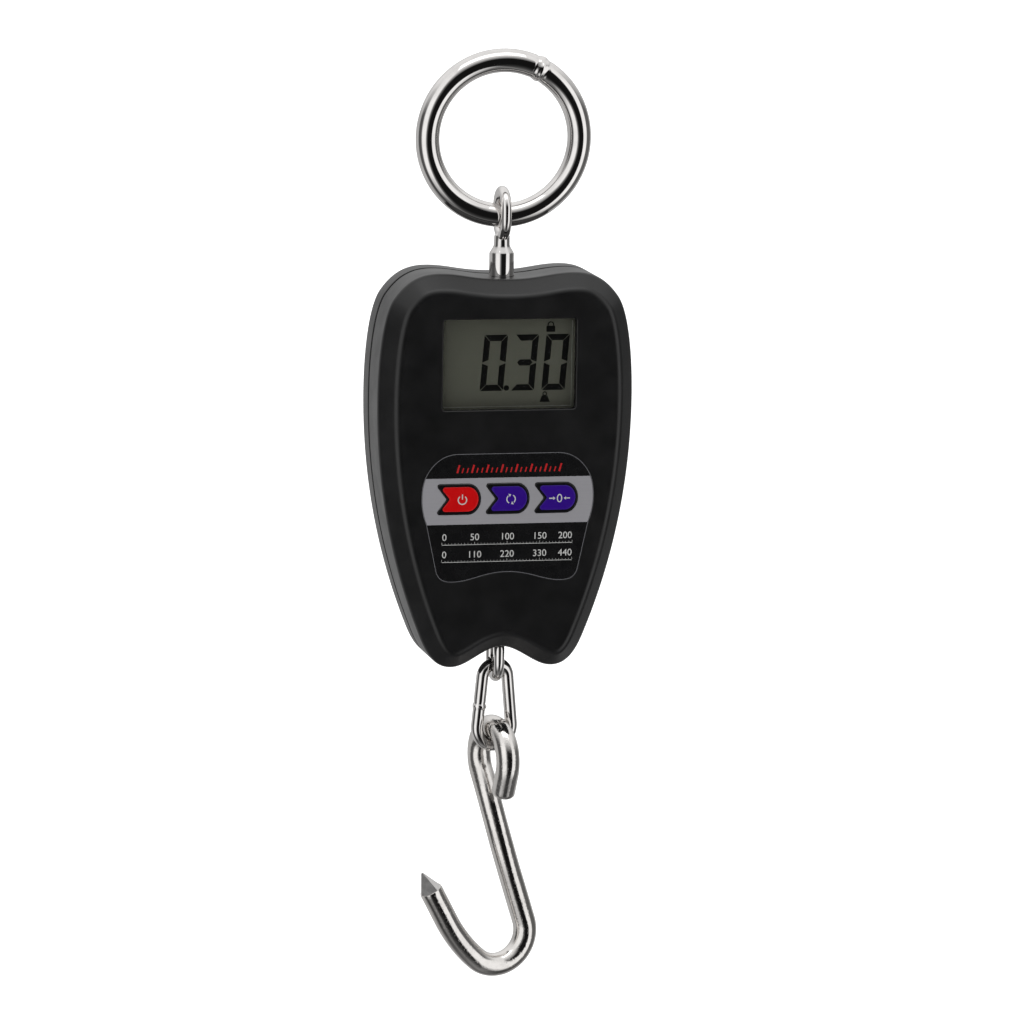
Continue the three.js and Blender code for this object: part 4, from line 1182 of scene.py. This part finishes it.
def camera():
    turned_right, turned_up, back = view_axes(radians(CAMERA["roll"]))
    data = bpy.data.cameras.new("camera")
    data.lens = CAMERA["lens"]
    data.sensor_width = 36
    data.clip_start = 0.01
    eye = (TARGET + back * CAMERA["distance"]) * MM
    made = linked("camera", data)
    turn = Matrix((turned_right, turned_up, back)).transposed().to_4x4()
    made.matrix_world = Matrix.Translation(eye) @ turn
    bpy.context.scene.camera = made


def softbox(name, position, width, height, power, aim=(0, 0, -0.15)):
    light = bpy.data.lights.new(name, "AREA")
    light.shape = "RECTANGLE"
    light.size, light.size_y = width, height
    light.energy = power
    made = linked(name, light)
    made.location = position
    made.rotation_euler = (Vector(aim) - Vector(position)).to_track_quat("-Z", "Y").to_euler()


def studio():
    softbox("top_box", (0.0, -0.35, 0.95), 1.0, 0.5, 1.5)  # metres and watts
    surroundings()
    floor()
    bpy.context.scene.view_settings.view_transform = "Standard"


def surroundings():
    """White side panels and backdrop round a dark front, so polished metal has black and white stripes."""
    world = bpy.data.worlds.new("studio")
    world.use_nodes = True
    bpy.context.scene.world = world
    nodes, links = world.node_tree.nodes, world.node_tree.links
    direction = nodes.new("ShaderNodeTexCoord").outputs["Generated"]

    def math_node(operation, *sources):
        made = nodes.new("ShaderNodeMath")
        made.operation = operation
        for socket, source in zip(made.inputs, sources):
            if isinstance(source, float):
                socket.default_value = source
            else:
                links.new(source, socket)
        return made.outputs[0]

    def along(axis):
        made = nodes.new("ShaderNodeVectorMath")
        made.operation = "DOT_PRODUCT"
        made.inputs[1].default_value = axis
        links.new(direction, made.inputs[0])
        return made.outputs["Value"]

    def ramp(source, stops):
        """Brightness by angle, where stops are (degrees, value)."""
        spread = math_node("MULTIPLY_ADD", source, 1 / TAU, 0.5)
        made = nodes.new("ShaderNodeValToRGB")
        elements = made.color_ramp.elements
        while len(elements) < len(stops):
            elements.new(0.5)
        for element, (angle, value) in zip(elements, stops):
            element.position = 0.5 + angle / 360
            element.color = (value, value, value, 1)
        links.new(spread, made.inputs["Fac"])
        return made.outputs["Color"]

    right, up, back = view_axes(0)
    across = math_node("ARCTAN2", along(right), along(back))
    height = math_node("ARCSINE", along(up))
    level = ramp(across, ROUND_THE_SIDES)
    share = ramp(height, CEILING_SHARE)
    mixed = nodes.new("ShaderNodeMix")
    mixed.data_type = "RGBA"
    for i, source in ((0, share), (6, level), (7, ramp(height, UP_AND_DOWN))):
        links.new(source, mixed.inputs[i])
    backdrop = nodes.new("ShaderNodeMix")
    backdrop.data_type = "RGBA"
    backdrop.inputs[7].default_value = (1, 1, 1, 1)
    links.new(nodes.new("ShaderNodeLightPath").outputs["Is Camera Ray"], backdrop.inputs[0])
    links.new(mixed.outputs[2], backdrop.inputs[6])
    links.new(backdrop.outputs[2], nodes["Background"].inputs["Color"])


def floor():
    mesh = bpy.data.meshes.new("floor")
    low, side = -0.56, 4.0
    corners = [(-side, -0.9, low), (side, -0.9, low), (side, 2 * side, low), (-side, 2 * side, low)]
    mesh.from_pydata(corners, [], [(0, 1, 2, 3)])
    ground = linked("floor", mesh)
    pale = Nodes("floor_pale")
    pale.set(Base_Color=(0.8, 0.8, 0.8), Roughness=0.9, Emission_Color=(1, 1, 1, 1), Emission_Strength=0.75)
    mesh.materials.append(pale.material)
    ground.visible_glossy = False


camera()
studio()
finish_cad_nodes()
suspension_ring()
eyes()
chain_link()
hook()
front_cover()
rear_shell()
battery_door()
screws()
display()
label()
keys()
batteries()
